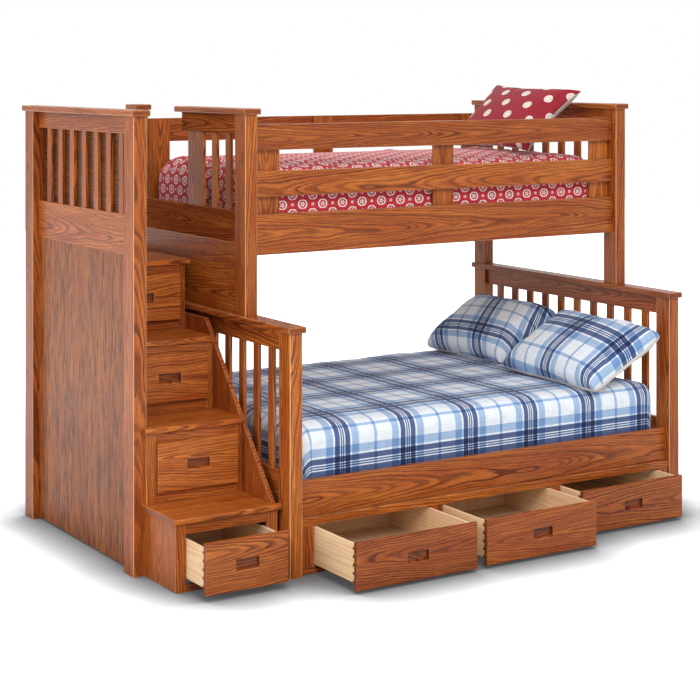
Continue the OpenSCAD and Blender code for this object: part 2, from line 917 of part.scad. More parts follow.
// The outline of a mattress: a rounded oblong whose sides draw in between its corners
function pad_outline(a, b, r, inset) =
    let (n = 6, sides = 7)
    [for (q = [0 : 3], j = [0 : n + sides - 1])
        let (sx = q == 0 || q == 3 ? 1 : -1,
             sy = q < 2 ? 1 : -1,
             next = [q == 0 ? -1 : q == 1 ? -1 : 1, q == 0 || q == 3 ? 1 : -1],
             e = max(r - inset, 2),
             ca = [sx * (a - inset - e), sy * (b - inset - e)],
             cb = [next[0] * (a - inset - e), next[1] * (b - inset - e)],
             arc = 90 * q + 90 * min(j, n) / n,
             end = [cos(90 * (q + 1)), sin(90 * (q + 1))] * e,
             t = j <= n ? 0 : (j - n) / sides,
             p = j <= n ? ca + e * [cos(arc), sin(arc)] : (ca + end) * (1 - t) + (cb + end) * t)
        [p[0] - sign(p[0]) * pad_draw * (1 - pow(p[1] / b, 2)),
         p[1] - sign(p[1]) * pad_draw * (1 - pow(p[0] / a, 2))]];

// How far a mattress's upper face lies below its crown, at a distance in from its sides
function pad_drop(d) =
    d < pad_edge ? pad_crown + pad_edge * (1 - sqrt(1 - pow(1 - d / pad_edge, 2)))
    : pad_crown * pow(1 - min((d - pad_edge) / crown_reach, 1), 2);

// A mattress in its cover: level underneath, soft lower edge, drawn-in sides, round upper edge
// and a crown. Rings of one outline are stacked and the ends are closed with fans.
module mattress(length, width, thick) {
    a = length / 2;
    b = width / 2;
    rings = concat(
        [for (t = [0 : 30 : 90]) [pad_low * (1 - sin(t)), pad_low * (1 - cos(t))]],
        [for (t = [0 : 15 : 90], d = [pad_edge * (1 - cos(t))]) [d, thick - pad_drop(d)]],
        [for (t = [0.25 : 0.25 : 1], d = [pad_edge + t * crown_reach]) [d, thick - pad_drop(d)]]);
    n = len(pad_outline(a, b, pad_corner, 0));
    points = concat(
        [for (ring = rings, p = pad_outline(a, b, pad_corner, ring[0])) [p[0], p[1], ring[1]]],
        [[0, 0, 0], [0, 0, thick]]);
    m = len(rings);
    sides = [for (i = [0 : m - 2], j = [0 : n - 1], half = [0, 1])
        let (p = i * n + j, q = i * n + (j + 1) % n)
        half ? [p, q + n, q] : [p, p + n, q + n]];
    ends = [for (j = [0 : n - 1], half = [0, 1])
        let (k = (j + 1) % n, last = (m - 1) * n)
        half ? [m * n, j, k] : [m * n + 1, last + k, last + j]];
    polyhedron(points = points, faces = concat(sides, ends), convexity = 4);
}

module full_mattress() {
    color(blue_cloth) translate([inner_x + inner_len / 2, full_depth / 2, full_bed_z + soft_clear])
        mattress(mattress_len, full_w, full_thick - soft_clear);
}

module twin_mattress() {
    color(red_cloth) translate([inner_x + inner_len / 2, (twin_y + full_depth) / 2, twin_bed_z + soft_clear])
        mattress(mattress_len, twin_w, twin_thick - soft_clear);
}

// A pillow is drawn on a square from -1 to 1: its sides draw in between pointed corners, and it
// swells above and below its seam. The share is 1 at the seam and 0 at the middle.
function pillow_point(u, v, up) =
    [pillow_w / 2 * u * (1 - pillow_draw * (1 - v * v)),
     pillow_len / 2 * v * (1 - pillow_draw * (1 - u * u)),
     (up > 0 ? pillow_crown : -pillow_under) * pow(max((1 - u * u) * (1 - v * v), 0), 0.42)];

// The square's edge in steps
function square_edge(i, n) =
    let (q = floor(i / n), t = 2 * (i % n) / n - 1)
    q == 0 ? [1, t] : q == 1 ? [-t, 1] : q == 2 ? [-1, -t] : [t, -1];

// Turns a point about X, then Y, then Z
function turned(p, a) =
    let (q = [p[0], p[1] * cos(a[0]) - p[2] * sin(a[0]), p[1] * sin(a[0]) + p[2] * cos(a[0])],
         s = [q[0] * cos(a[1]) + q[2] * sin(a[1]), q[1], -q[0] * sin(a[1]) + q[2] * cos(a[1])])
    [s[0] * cos(a[2]) - s[1] * sin(a[2]), s[0] * sin(a[2]) + s[1] * cos(a[2]), s[2]];

// A pillow turned by its angles and let down onto a mattress, given by its middle, width and top
module pillow(place, angles, bed_y, bed_w, bed_top) {
    n = 10;
    shares = [0.2, 0.42, 0.62, 0.78, 0.9, 0.97];
    m = len(shares);
    count = 4 * n;
    flat_points = concat(
        [for (up = [-1, 1], s = shares, i = [0 : count - 1])
            let (e = square_edge(i, n)) pillow_point(s * e[0], s * e[1], up)],
        [for (i = [0 : count - 1]) let (e = square_edge(i, n)) pillow_point(e[0], e[1], 1)],
        [pillow_point(0, 0, -1), pillow_point(0, 0, 1)]);
    points = [for (p = flat_points) turned(p, angles)];
    bed_mid = inner_x + inner_len / 2;
    low = min([for (p = points)
        let (d = min(mattress_len / 2 - abs(p[0] + place[0] - bed_mid),
                     bed_w / 2 - abs(p[1] + place[1] - bed_y)))
        p[2] + (d < 0 ? bed_top : pad_drop(d))]);
    seam = 2 * m * count;
    pole = seam + count;
    walls = [for (side = [0, 1], k = [0 : m - 1], j = [0 : count - 1], half = [0, 1])
        let (next = (j + 1) % count,
             inner = (side * m + k) * count,
             outer = k == m - 1 ? seam : inner + count,
             f = half ? [inner + j, outer + j, outer + next] : [inner + j, outer + next, inner + next])
        side ? [f[2], f[1], f[0]] : f];
    fans = [for (side = [0, 1], j = [0 : count - 1])
        let (next = (j + 1) % count, first = side * m * count)
        side ? [pole + 1, first + next, first + j] : [pole, first + j, first + next]];
    translate([place[0], place[1], bed_top + soft_clear - low])
        polyhedron(points = points, faces = concat(walls, fans), convexity = 4);
}

// Pillows lean against the head ends of the beds
module full_pillow_rear() {
    color(blue_cloth) pillow([outer_x - rear_pillow_in, full_depth - rear_pillow_back], rear_pillow_turn,
                             full_depth / 2, full_w, full_bed_z + full_thick);
}

module full_pillow_front() {
    color(blue_cloth) pillow([outer_x - front_pillow_in, front_pillow_y], front_pillow_turn,
                             full_depth / 2, full_w, full_bed_z + full_thick);
}

module twin_pillow() {
    color(red_cloth) pillow([outer_x - twin_pillow_in, twin_y + twin_pillow_y], twin_pillow_turn,
                            (twin_y + full_depth) / 2, twin_w, twin_bed_z + twin_thick);
}

placed() stair_posts();
placed() stair_cap();
placed() stair_end_rails();
placed() stair_slats();
placed() stair_end_panel();
placed() stair_side_left();
placed() stair_side_right();
placed() stair_back();
placed() tread_1();
placed() tread_2();
placed() tread_3();
placed() tread_4();
placed() stair_face_frames();
placed() stair_drawer_runners();
placed() stair_front(0);  // stair_drawer_1_front
placed() stair_box(0);  // stair_drawer_1_box
placed() stair_front(1);  // stair_drawer_2_front
placed() stair_box(1);  // stair_drawer_2_box
placed() stair_front(2);  // stair_drawer_3_front
placed() stair_box(2);  // stair_drawer_3_box
placed() stair_front(3);  // stair_drawer_4_front
placed() stair_box(3);  // stair_drawer_4_box
placed() full_posts();
placed() full_caps();
placed() footboard_rails();
placed() footboard_slats();
placed() headboard_rails();
placed() headboard_slats();
placed() full_side_rails();
placed() full_bed_slats();
placed() full_mattress();
placed() full_pillow_rear();
placed() full_pillow_front();
placed() slat_cleats();
placed() twin_posts();
placed() twin_caps();
placed() twin_left_rails();
placed() twin_left_slats();
placed() twin_left_board();
placed() twin_right_rails();
placed() twin_right_slats();
placed() twin_side_rails();
placed() guard_boards();
placed() guard_stiles();
placed() twin_bed_slats();
placed() twin_mattress();
placed() twin_pillow();
placed() drawer_unit_frame();
placed() drawer_unit_dividers();
placed() drawer_unit_back();
placed() bed_drawer_runners();
placed() bed_front(0);  // bed_drawer_1_front
placed() bed_box(0);  // bed_drawer_1_box
placed() bed_front(1);  // bed_drawer_2_front
placed() bed_box(1);  // bed_drawer_2_box
placed() bed_front(2);  // bed_drawer_3_front
placed() bed_box(2);  // bed_drawer_3_box
placed() alignment_pins();
placed() rail_brackets();
placed() bracket_bolts();
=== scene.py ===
"""A twin bunk over a full-size bed in stained oak, with a storage stair at its left end, three drawers
under the lower bed, two covered mattresses and three pillows, dressed over its packed construction.

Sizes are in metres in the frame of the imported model: X runs along the beds, Y from the drawers to the
back, and Z up. Every wooden board is made anew with eased edges and carries its own place in the log it
was sawn from, so that the growth rings run through its faces as they do in real boards.
"""

import json
import logging
import math
from dataclasses import dataclass, field, replace
from enum import Enum

import bmesh
import bpy
import numpy as np
from bpy.types import Material, Mesh, Node, NodeSocket, NodeTree, Object
from mathutils import Matrix, Vector

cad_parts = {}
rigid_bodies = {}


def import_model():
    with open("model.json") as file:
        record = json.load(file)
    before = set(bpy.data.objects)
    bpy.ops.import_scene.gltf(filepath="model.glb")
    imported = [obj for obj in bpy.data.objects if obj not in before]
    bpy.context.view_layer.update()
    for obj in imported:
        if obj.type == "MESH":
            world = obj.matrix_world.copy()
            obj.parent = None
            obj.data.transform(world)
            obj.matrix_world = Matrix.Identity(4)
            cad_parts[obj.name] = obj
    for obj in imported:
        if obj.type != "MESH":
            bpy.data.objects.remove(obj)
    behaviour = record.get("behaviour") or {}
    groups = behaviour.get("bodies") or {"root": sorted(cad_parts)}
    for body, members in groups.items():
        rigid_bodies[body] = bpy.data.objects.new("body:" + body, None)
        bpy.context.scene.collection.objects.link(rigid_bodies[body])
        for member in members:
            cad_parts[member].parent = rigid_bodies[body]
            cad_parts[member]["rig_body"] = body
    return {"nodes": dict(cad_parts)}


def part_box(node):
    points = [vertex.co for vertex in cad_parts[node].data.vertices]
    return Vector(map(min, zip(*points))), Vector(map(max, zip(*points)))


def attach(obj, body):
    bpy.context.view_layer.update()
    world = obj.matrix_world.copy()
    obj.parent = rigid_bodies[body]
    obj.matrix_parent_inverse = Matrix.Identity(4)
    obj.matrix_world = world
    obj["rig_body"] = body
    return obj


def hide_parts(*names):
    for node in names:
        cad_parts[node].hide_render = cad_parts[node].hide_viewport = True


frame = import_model()

log = logging.getLogger("bunk_bed")
WHITE = (1.0, 1.0, 1.0, 1.0)
BLACK = (0.0, 0.0, 0.0, 1.0)
# Seeds whose boards come out about as dark or pale as the same boards in the photograph.
DRAWER_SEEDS = {"stair_drawer_1": 939, "stair_drawer_2": 2803, "stair_drawer_3": 4047, "stair_drawer_4": 68,
                "bed_drawer_1": 1974, "bed_drawer_2": 5939, "bed_drawer_3": 4294}
# The noises that vary wood, each with its waves a metre along the grain and across it: the slow one bends
# the heart, the quick one frays the rings, and the others place open pores, cloudy stain and thin dashes.
WOOD_NOISES = {"slow": (2.1, 6.0), "quick": (22.0, 210.0), "pore": (30.0, 520.0), "cloud": (2.2, 20.0),
               "dash": (9.0, 170.0)}
# The values of the last three between which pores, cloud and dashes go from none to full.
WOOD_CUTS = {"pore": (0.50, 0.64), "cloud": (0.30, 0.70), "dash": (0.46, 0.62)}
# A cotton cover's make in the simulation: light cloth that hardly stretches and bends easily.
COVER_CLOTH = {"quality": 5, "mass": 0.25, "tension_stiffness": 12, "compression_stiffness": 12,
               "shear_stiffness": 4, "bending_stiffness": 0.3, "use_pressure": True}


def linear(hex_code: str) -> tuple[float, float, float, float]:
    """Turns an sRGB hex colour into Blender's linear colour.

    Args:
        hex_code: Six hex digits, with or without a leading hash.

    Returns:
        Red, green, blue and alpha, with alpha 1.
    """
    digits = hex_code.lstrip("#")
    values = [int(digits[i:i + 2], 16) / 255 for i in (0, 2, 4)]
    return (*[v / 12.92 if v <= 0.04045 else ((v + 0.055) / 1.055) ** 2.4 for v in values], 1.0)


def feed(tree: NodeTree, node: Node, sockets: dict) -> None:
    """Links or sets a node's inputs.

    Args:
        tree: The node tree.
        node: The node that is fed.
        sockets: Input names or numbers, each with a plain value, with the output that feeds it, or with
            the node whose first output in use feeds it.
    """
    for key, value in sockets.items():
        if isinstance(value, Node):
            value = next(output for output in value.outputs if output.enabled)
        if isinstance(value, NodeSocket):
            tree.links.new(value, node.inputs[key])
        else:
            node.inputs[key].default_value = value


def add(tree: NodeTree, kind: str, sockets: dict | None = None, **settings: object) -> Node:
    """Adds one node with its links and its settings.

    Args:
        tree: The node tree that gets the node.
        kind: Blender's name of the node type, after ShaderNode.
        sockets: What feeds its inputs, as for feed.
        settings: Property names and values. The name stops fills a colour ramp from pairs of a position
            and the hex colour from there on.

    Returns:
        The new node.
    """
    node = tree.nodes.new("ShaderNode" + kind)
    for key, value in settings.items():
        if key == "stops":
            elements = node.color_ramp.elements
            while len(elements) < len(value):
                elements.new(1.0)
            for element, (position, colour) in zip(elements, value):
                element.position = position
                element.color = linear(colour)
            node.color_ramp.interpolation = "CONSTANT"
        else:
            setattr(node, key, value)
    feed(tree, node, sockets or {})
    return node


def new_material(name: str) -> tuple[Material, NodeTree, Node]:
    """Makes a material with an empty Principled surface.

    Args:
        name: The material's name.

    Returns:
        The material, its node tree and its Principled node.
    """
    material = bpy.data.materials.new(name)
    material.use_nodes = True
    tree = material.node_tree
    tree.nodes.clear()
    shader = add(tree, "BsdfPrincipled")
    add(tree, "OutputMaterial", {"Surface": shader})
    return material, tree, shader


@dataclass(frozen=True)
class WoodFinish:
    """Sawn and planed wood, in board coordinates: along the grain, across it, and through it.

    The rings are cones round the log's heart, bent by slow noise, uneven in width and in darkness, and
    frayed along the grain, so that they leave arches on a flat-sawn face and lines on a quarter-sawn
    one. Each ring starts with a dark porous band that has one sharp side.
    """

    name: str
    dark: str
    middle: str
    light: str
    end: str
    # colour of the pale edges: partly rubbed-off stain, partly a painted highlight
    worn: str
    ring: float = 0.0092  # metres between rings; real oak has 2 to 4 mm, drawn coarser so that it shows
    taper: float = 0.060  # metres that a ring widens over a metre of log
    wobble: float = 0.055  # metres that slow noise moves the heart
    uneven: float = 1.8  # rings by which slow noise spaces the rings unevenly
    pace: float = 0.29  # waves of that noise in each ring
    frayed: float = 0.50  # rings by which quick noise frays a ring's sides
    faintest: float = 0.42  # strength of the palest ring, as a share of the darkest
    fading: tuple[float, float] = (0.12, 0.62)  # where in a ring the band begins to fade and is gone
    onset: float = 0.92  # where in a ring the next band sets in
    band: float = 0.92  # strength of the dark band
    pores: float = 0.55  # strength of the open pores, drawn 1.5 mm wide so that they show
    banded: float = 0.7  # share of the pores' strength that only the dark band has
    flecks: float = 0.34  # strength of long thin dark dashes
    stained: float = 0.55  # strength of the end grain's colour and of the pale edges' colour: rubbed-off stain and painted highlight
    tones: tuple[float, float] = (0.80, 1.14)  # brightness of the darkest and the palest board
    hues: tuple[float, float] = (0.4965, 0.5025)
    roughness: float = 0.36
    pore_roughness: float = 0.2  # how much rougher an open pore is
    coat: float = 0.22
    coat_roughness: float = 0.25
    coat_ior: float = 1.32
    ior: float = 1.30
    relief: float = 0.25
    pore_relief: float = 1.6  # how deep a pore is beside a band
    depth: float = 0.0004  # metres

    def rings(self, t: NodeTree, place: NodeSocket, noise: dict[str, Node]) -> Node:
        """Adds the growth rings: the distance from the bent heart over a ring's width, and its fraction.

        Args:
            t: The material's tree.
            place: The output with the board coordinates.
            noise: The noises, by their use.

        Returns:
            The node with the strength of the dark band, from 0 to 1.
        """
        shift = -self.wobble / 2
        bent = add(t, "VectorMath", {0: noise["slow"].outputs["Color"], 1: (0.0, self.wobble, self.wobble),
                                     2: place}, operation="MULTIPLY_ADD")
        cross = add(t, "VectorMath", {0: bent, 1: (0.0, 1.0, 1.0), 2: (0.0, shift, shift)},
                    operation="MULTIPLY_ADD")
        radius = add(t, "VectorMath", {0: cross}, operation="LENGTH")
        along = add(t, "SeparateXYZ", {0: place})
        coned = add(t, "Math", {0: along, 1: self.taper, 2: radius}, operation="MULTIPLY_ADD")
        even = add(t, "Math", {0: coned, 1: self.ring}, operation="DIVIDE")
        pace = add(t, "Math", {0: even, 1: self.pace}, operation="MULTIPLY")
        wander = add(t, "TexNoise", {"W": pace, "Scale": 1.0, "Detail": 1.0}, noise_dimensions="1D")
        spaced = add(t, "Math", {0: wander, 1: self.uneven, 2: even}, operation="MULTIPLY_ADD")
        count = add(t, "Math", {0: noise["quick"], 1: self.frayed, 2: spaced}, operation="MULTIPLY_ADD")
        ring = add(t, "Math", {0: count}, operation="FRACT")
        number = add(t, "Math", {0: spaced}, operation="FLOOR")
        chance = add(t, "TexWhiteNoise", {"W": number}, noise_dimensions="1D")
        depth = add(t, "MapRange", {0: chance, 3: self.faintest, 4: 1.0})
        early, onset = (add(t, "MapRange", {0: ring, 1: start, 2: stop, 3: before, 4: 1.0 - before},
                            interpolation_type="SMOOTHSTEP")
                        for start, stop, before in ((*self.fading, 1.0), (self.onset, 1.0, 0.0)))
        edged = add(t, "Math", {0: early, 1: onset}, operation="MAXIMUM")
        return add(t, "Math", {0: edged, 1: depth}, operation="MULTIPLY")

    def make(self) -> Material:
        """Builds the node material of the wood.

        Returns:
            The material.
        """
        material, t, shader = new_material(self.name)
        place = add(t, "Attribute", attribute_name="grain").outputs["Vector"]
        tone, end, worn = (add(t, "Attribute", attribute_name=name).outputs["Fac"]
                           for name in ("tone", "end_grain", "worn"))
        noise = {}
        for use, (along, across) in WOOD_NOISES.items():
            at = add(t, "VectorMath", {0: place, 1: (along, across, across)}, operation="MULTIPLY")
            noise[use] = add(t, "TexNoise", {"Vector": at, "Scale": 1.0, "Detail": 2.0, "Roughness": 0.55})
        band = self.rings(t, place, noise)
        found, cloud, dashes = (add(t, "MapRange", {0: noise[use], 1: least, 2: most})
                                for use, (least, most) in WOOD_CUTS.items())
        in_band = add(t, "Math", {0: band, 1: self.banded, 2: 1 - self.banded}, operation="MULTIPLY_ADD")
        pores = add(t, "Math", {0: found, 1: in_band}, operation="MULTIPLY")
        surface = add(t, "Mix", {0: cloud, 6: linear(self.middle), 7: linear(self.light)}, data_type="RGBA")
        # the pale edges' colour is partly rubbed-off stain and partly a painted highlight
        for share, strength, colour in ((band, self.band, self.dark), (pores, self.pores, self.dark),
                                        (dashes, self.flecks, self.dark), (end, self.stained, self.end),
                                        (worn, self.stained, self.worn)):
            amount = add(t, "Math", {0: share, 1: strength}, operation="MULTIPLY")
            surface = add(t, "Mix", {0: amount, 6: surface, 7: linear(colour)}, data_type="RGBA")
        hue = add(t, "MapRange", {0: tone, 3: self.hues[0], 4: self.hues[1]})
        value = add(t, "MapRange", {0: tone, 3: self.tones[0], 4: self.tones[1]}, clamp=False)
        toned = add(t, "HueSaturation", {"Color": surface, "Hue": hue, "Value": value})
        gloss = add(t, "Math", {0: pores, 1: self.pore_roughness, 2: self.roughness},
                    operation="MULTIPLY_ADD")
        height = add(t, "Math", {0: pores, 1: self.pore_relief, 2: band}, operation="MULTIPLY_ADD")
        bump = add(t, "Bump", {"Strength": self.relief, "Distance": self.depth, "Height": height},
                   invert=True)
        feed(t, shader, {"Base Color": toned, "Roughness": gloss, "Normal": bump, "IOR": self.ior,
                         "Coat Weight": self.coat, "Coat Roughness": self.coat_roughness,
                         "Coat IOR": self.coat_ior})
        return material


# Red oak in a reddish brown stain under a thin satin lacquer: open pores hold the stain and look dark,
# sanded edges take less of it and are painted paler still as a painted highlight, and the lacquer mirrors a
# pale room softly on faces seen at a slant.
STAINED_OAK = WoodFinish("red_oak_stained_satin", dark="#541e08", middle="#a04b18", light="#c26e2c",
                         end="#63290f", worn="#e6b98a")
# The same oak and stain inside the bed, rubbed dull: it hardly mirrors the room.
RUBBED_OAK = replace(STAINED_OAK, name="red_oak_stained_dull", roughness=0.7, coat=0.0, ior=1.12)
# The same oak as sliced veneer: wide quiet figure with short dark dashes.
OAK_VENEER = WoodFinish("red_oak_veneer_stained_satin", dark="#55230d", middle="#9c531e", light="#b66b2c",
                        end="#63290f", worn="#a8683a", ring=0.010, taper=0.08, wobble=0.09, frayed=0.7,
                        band=0.72, pores=0.75, flecks=1.0, coat=0.04)
# Pale hard maple under a clear matt lacquer: faint tan streaks, hardly any pores.
CLEAR_MAPLE = WoodFinish("hard_maple_clear_matt", dark="#c28c58", middle="#ecc497", light="#f3d7b2",
                         end="#c99c6c", worn="#ecd0a8", ring=0.013, taper=0.02, wobble=0.03, band=0.36,
                         pores=0.10, flecks=0.06, roughness=0.5, coat=0.10, relief=0.1)


@dataclass(frozen=True)
class Timber:
    """What boards of one wood share: their finish, their record slot, and their edges' radius."""

    finish: WoodFinish
    slot: str
    ease: float


class Wood(Enum):
    """The woods that boards are cut from."""

    OAK = Timber(STAINED_OAK, "stained_oak", 0.0025)
    DULL_OAK = Timber(RUBBED_OAK, "stained_oak", 0.0025)
    VENEER = Timber(OAK_VENEER, "oak_veneer", 0.0010)
    MAPLE = Timber(CLEAR_MAPLE, "maple", 0.0020)


@dataclass(frozen=True)
class SteelFinish:
    """Zinc-plated steel: a dull cool metal with faint spangle."""

    name: str = "zinc_plated_steel"
    pale: str = "#b9bcc0"
    deep: str = "#8e9297"
    spangles: float = 260.0  # to a metre, so that each is about 4 mm wide
    smudges: float = 900.0  # to a metre
    roughness: tuple[float, float] = (0.34, 0.48)

    def make(self) -> Material:
        """Builds the node material of the plating.

        Returns:
            The material.
        """
        material, t, shader = new_material(self.name)
        place = add(t, "TexCoord").outputs["Object"]
        spangle = add(t, "TexVoronoi", {"Vector": place, "Scale": self.spangles}).outputs["Color"]
        noise = add(t, "TexNoise", {"Vector": place, "Scale": self.smudges, "Detail": 2.0})
        colour = add(t, "Mix", {0: spangle, 6: linear(self.pale), 7: linear(self.deep)}, data_type="RGBA")
        rough = add(t, "MapRange", {0: noise, 1: 0.3, 2: 0.7, 3: self.roughness[0], 4: self.roughness[1]})
        feed(t, shader, {"Base Color": colour, "Roughness": rough, "Metallic": 1.0})
        return material


@dataclass(frozen=True)
class Cotton:
    """Plain-woven cotton: threads, uneven yarns and soft crumple under the colour of each kind of cloth."""

    name: str
    thread: float = 0.0022  # metres between drawn threads; real sheeting has 0.3 mm, too fine to show
    thread_relief: tuple[float, float] = (0.25, 0.0004)  # strength, and metres
    yarn: tuple[float, float] = (14.0, 240.0)  # waves a metre along a yarn and across it
    yarn_range: tuple[float, float] = (0.75, 1.25)  # both yarns' noises added, from least to most
    shades: tuple[float, float] = (0.86, 1.08)  # brightness over that range
    roughness: tuple[float, float] = (0.82, 0.95)  # and roughness
    crumples: float = 17.0  # to a metre
    crumple_relief: tuple[float, float] = (0.45, 0.006)  # strength, and metres
    sheen: float = 0.12

    def colour(self, t: NodeTree, place: NodeSocket, parts: Node) -> Node:
        """Adds the nodes that give the cloth's colour.

        Args:
            t: The material's tree.
            place: The output with the place on the cloth in metres, and 1 in the third on the reverse.
            parts: The node with that place's three numbers apart.

        Returns:
            The node with the colour.
        """
        raise NotImplementedError

    def lined(self, t: NodeTree, parts: Node, face: Node, reverse: Node | tuple) -> Node:
        """Adds the nodes that put another colour on the cloth's reverse, and gives the last one back."""
        back = add(t, "Math", {0: parts.outputs[2], 1: 0.5}, operation="GREATER_THAN")
        return add(t, "Mix", {0: back, 6: face, 7: reverse}, data_type="RGBA")

    def make(self) -> Material:
        """Builds the node material of the cloth.

        Returns:
            The material.
        """
        material, t, shader = new_material(self.name)
        place = add(t, "Attribute", attribute_name="cloth").outputs["Vector"]
        colour = self.colour(t, place, add(t, "SeparateXYZ", {0: place}))
        wave_at = add(t, "VectorMath", {0: place, "Scale": 2 * math.pi / self.thread}, operation="SCALE")
        waves = add(t, "VectorMath", {0: wave_at}, operation="SINE")
        threads = add(t, "SeparateXYZ", {0: waves})
        weave = add(t, "Math", {0: threads.outputs[0], 1: threads.outputs[1]}, operation="MULTIPLY")
        yarns = []
        for stretch in ((*self.yarn, 1.0), (*self.yarn[::-1], 1.0)):
            at = add(t, "VectorMath", {0: place, 1: stretch}, operation="MULTIPLY")
            yarns.append(add(t, "TexNoise", {"Vector": at, "Scale": 1.0, "Detail": 2.0}))
        yarn = add(t, "Math", {0: yarns[0], 1: yarns[1]}, operation="ADD")
        crumple = add(t, "TexNoise", {"Vector": place, "Scale": self.crumples, "Detail": 3.0,
                                      "Roughness": 0.55, "Distortion": 0.6})
        shade, rough = (add(t, "MapRange", {0: yarn, 1: self.yarn_range[0], 2: self.yarn_range[1],
                                            3: least, 4: most})
                        for least, most in (self.shades, self.roughness))
        toned = add(t, "HueSaturation", {"Color": colour, "Value": shade})
        bump = {}
        for height, (strength, distance) in ((weave, self.thread_relief), (crumple, self.crumple_relief)):
            bump["Normal"] = add(t, "Bump", {"Strength": strength, "Distance": distance, "Height": height,
                                             **bump})
        feed(t, shader, {"Base Color": toned, "Roughness": rough, "Sheen Weight": self.sheen,
                         "Sheen Roughness": 0.5, "Specular IOR Level": 0.25, **bump})
        return material


@dataclass(frozen=True)
class PlaidCotton(Cotton):
    """Cotton in a blue plaid: the same stripes run both ways and darken where they cross."""

    name: str = "plaid_woven_cotton"
    ground: str = "#f1f4f8"
    sky: str = "#aac2df"
    navy: str = "#55668c"
    line: str = "#eef3fa"
    reverse: str = "#e3ddd4"
    repeat: float = 0.321  # metres

    def stops(self) -> list[tuple[float, str]]:
        """Lists one repeat of the stripes, from the middle of a plain field's thin blue line.

        Returns:
            Pairs of a position in the repeat and the colour from there on.
        """
        half = [(0.0065, self.sky), (0.075, self.ground), (0.033, self.sky), (0.009, self.ground),
                (0.024, self.navy), (0.005, self.line), (0.0055, self.navy)]
        widths = half + [(0.005, self.line)] + half[::-1]
        total = sum(width for width, _ in widths)
        found, at = [], 0.0
        for width, colour in widths:
            found.append((at / total, colour))
            at += width
        return found

    def colour(self, t: NodeTree, place: NodeSocket, parts: Node) -> Node:
        """Adds the two sets of stripes, multiplied, over a plain reverse.

        Args:
            t: The material's tree.
            place: The output with the place on the cloth; not used.
            parts: The node with its three numbers apart.

        Returns:
            The node with the colour.
        """
        stripes = []
        for length in parts.outputs[:2]:
            counted = add(t, "Math", {0: length, 1: self.repeat}, operation="DIVIDE")
            turn = add(t, "Math", {0: counted}, operation="FRACT")
            stripes.append(add(t, "ValToRGB", {0: turn}, stops=self.stops()))
        crossed = add(t, "Mix", {0: 1.0, 6: stripes[0], 7: stripes[1]}, data_type="RGBA",
                      blend_type="MULTIPLY")
        return self.lined(t, parts, crossed, linear(self.reverse))


@dataclass(frozen=True)
class Lattice:
    """Staggered rows of cells on the cloth: a cell's pitch along its row and the rows' distance, in metres.

    Rows follow the cloth's first length, or its second where rows_along is 0.
    """

    pitch: float
    row: float
    shift: tuple[float, float] = (0.0, 0.0)
    rows_along: int = 1

    def spot(self, t: NodeTree, parts: Node, offset: float) -> Node:
        """Adds the nodes that give the place in a cell, measured from the cell's middle.

        Args:
            t: The material's tree.
            parts: The node with the cloth's lengths apart.
            offset: How far the cells are shifted along their rows, in cells.

        Returns:
            The node with the two lengths from the middle of the cell, in metres.
        """
        across, up = parts.outputs[1 - self.rows_along], parts.outputs[self.rows_along]
        line = add(t, "Math", {0: up, 1: 1 / self.row, 2: self.shift[1] / self.row}, operation="MULTIPLY_ADD")
        number = add(t, "Math", {0: line}, operation="FLOOR")
        turn = add(t, "Math", {0: across, 1: 1 / self.pitch, 2: self.shift[0] / self.pitch + offset},
                   operation="MULTIPLY_ADD")
        staggered = add(t, "Math", {0: number, 1: 0.5, 2: turn}, operation="MULTIPLY_ADD")
        lengths = []
        for value, size in ((staggered, self.pitch), (line, self.row)):
            share = add(t, "Math", {0: value}, operation="FRACT")
            lengths.append(add(t, "Math", {0: share, 1: size, 2: -0.5 * size}, operation="MULTIPLY_ADD"))
        return add(t, "CombineXYZ", {0: lengths[0], 1: lengths[1]})


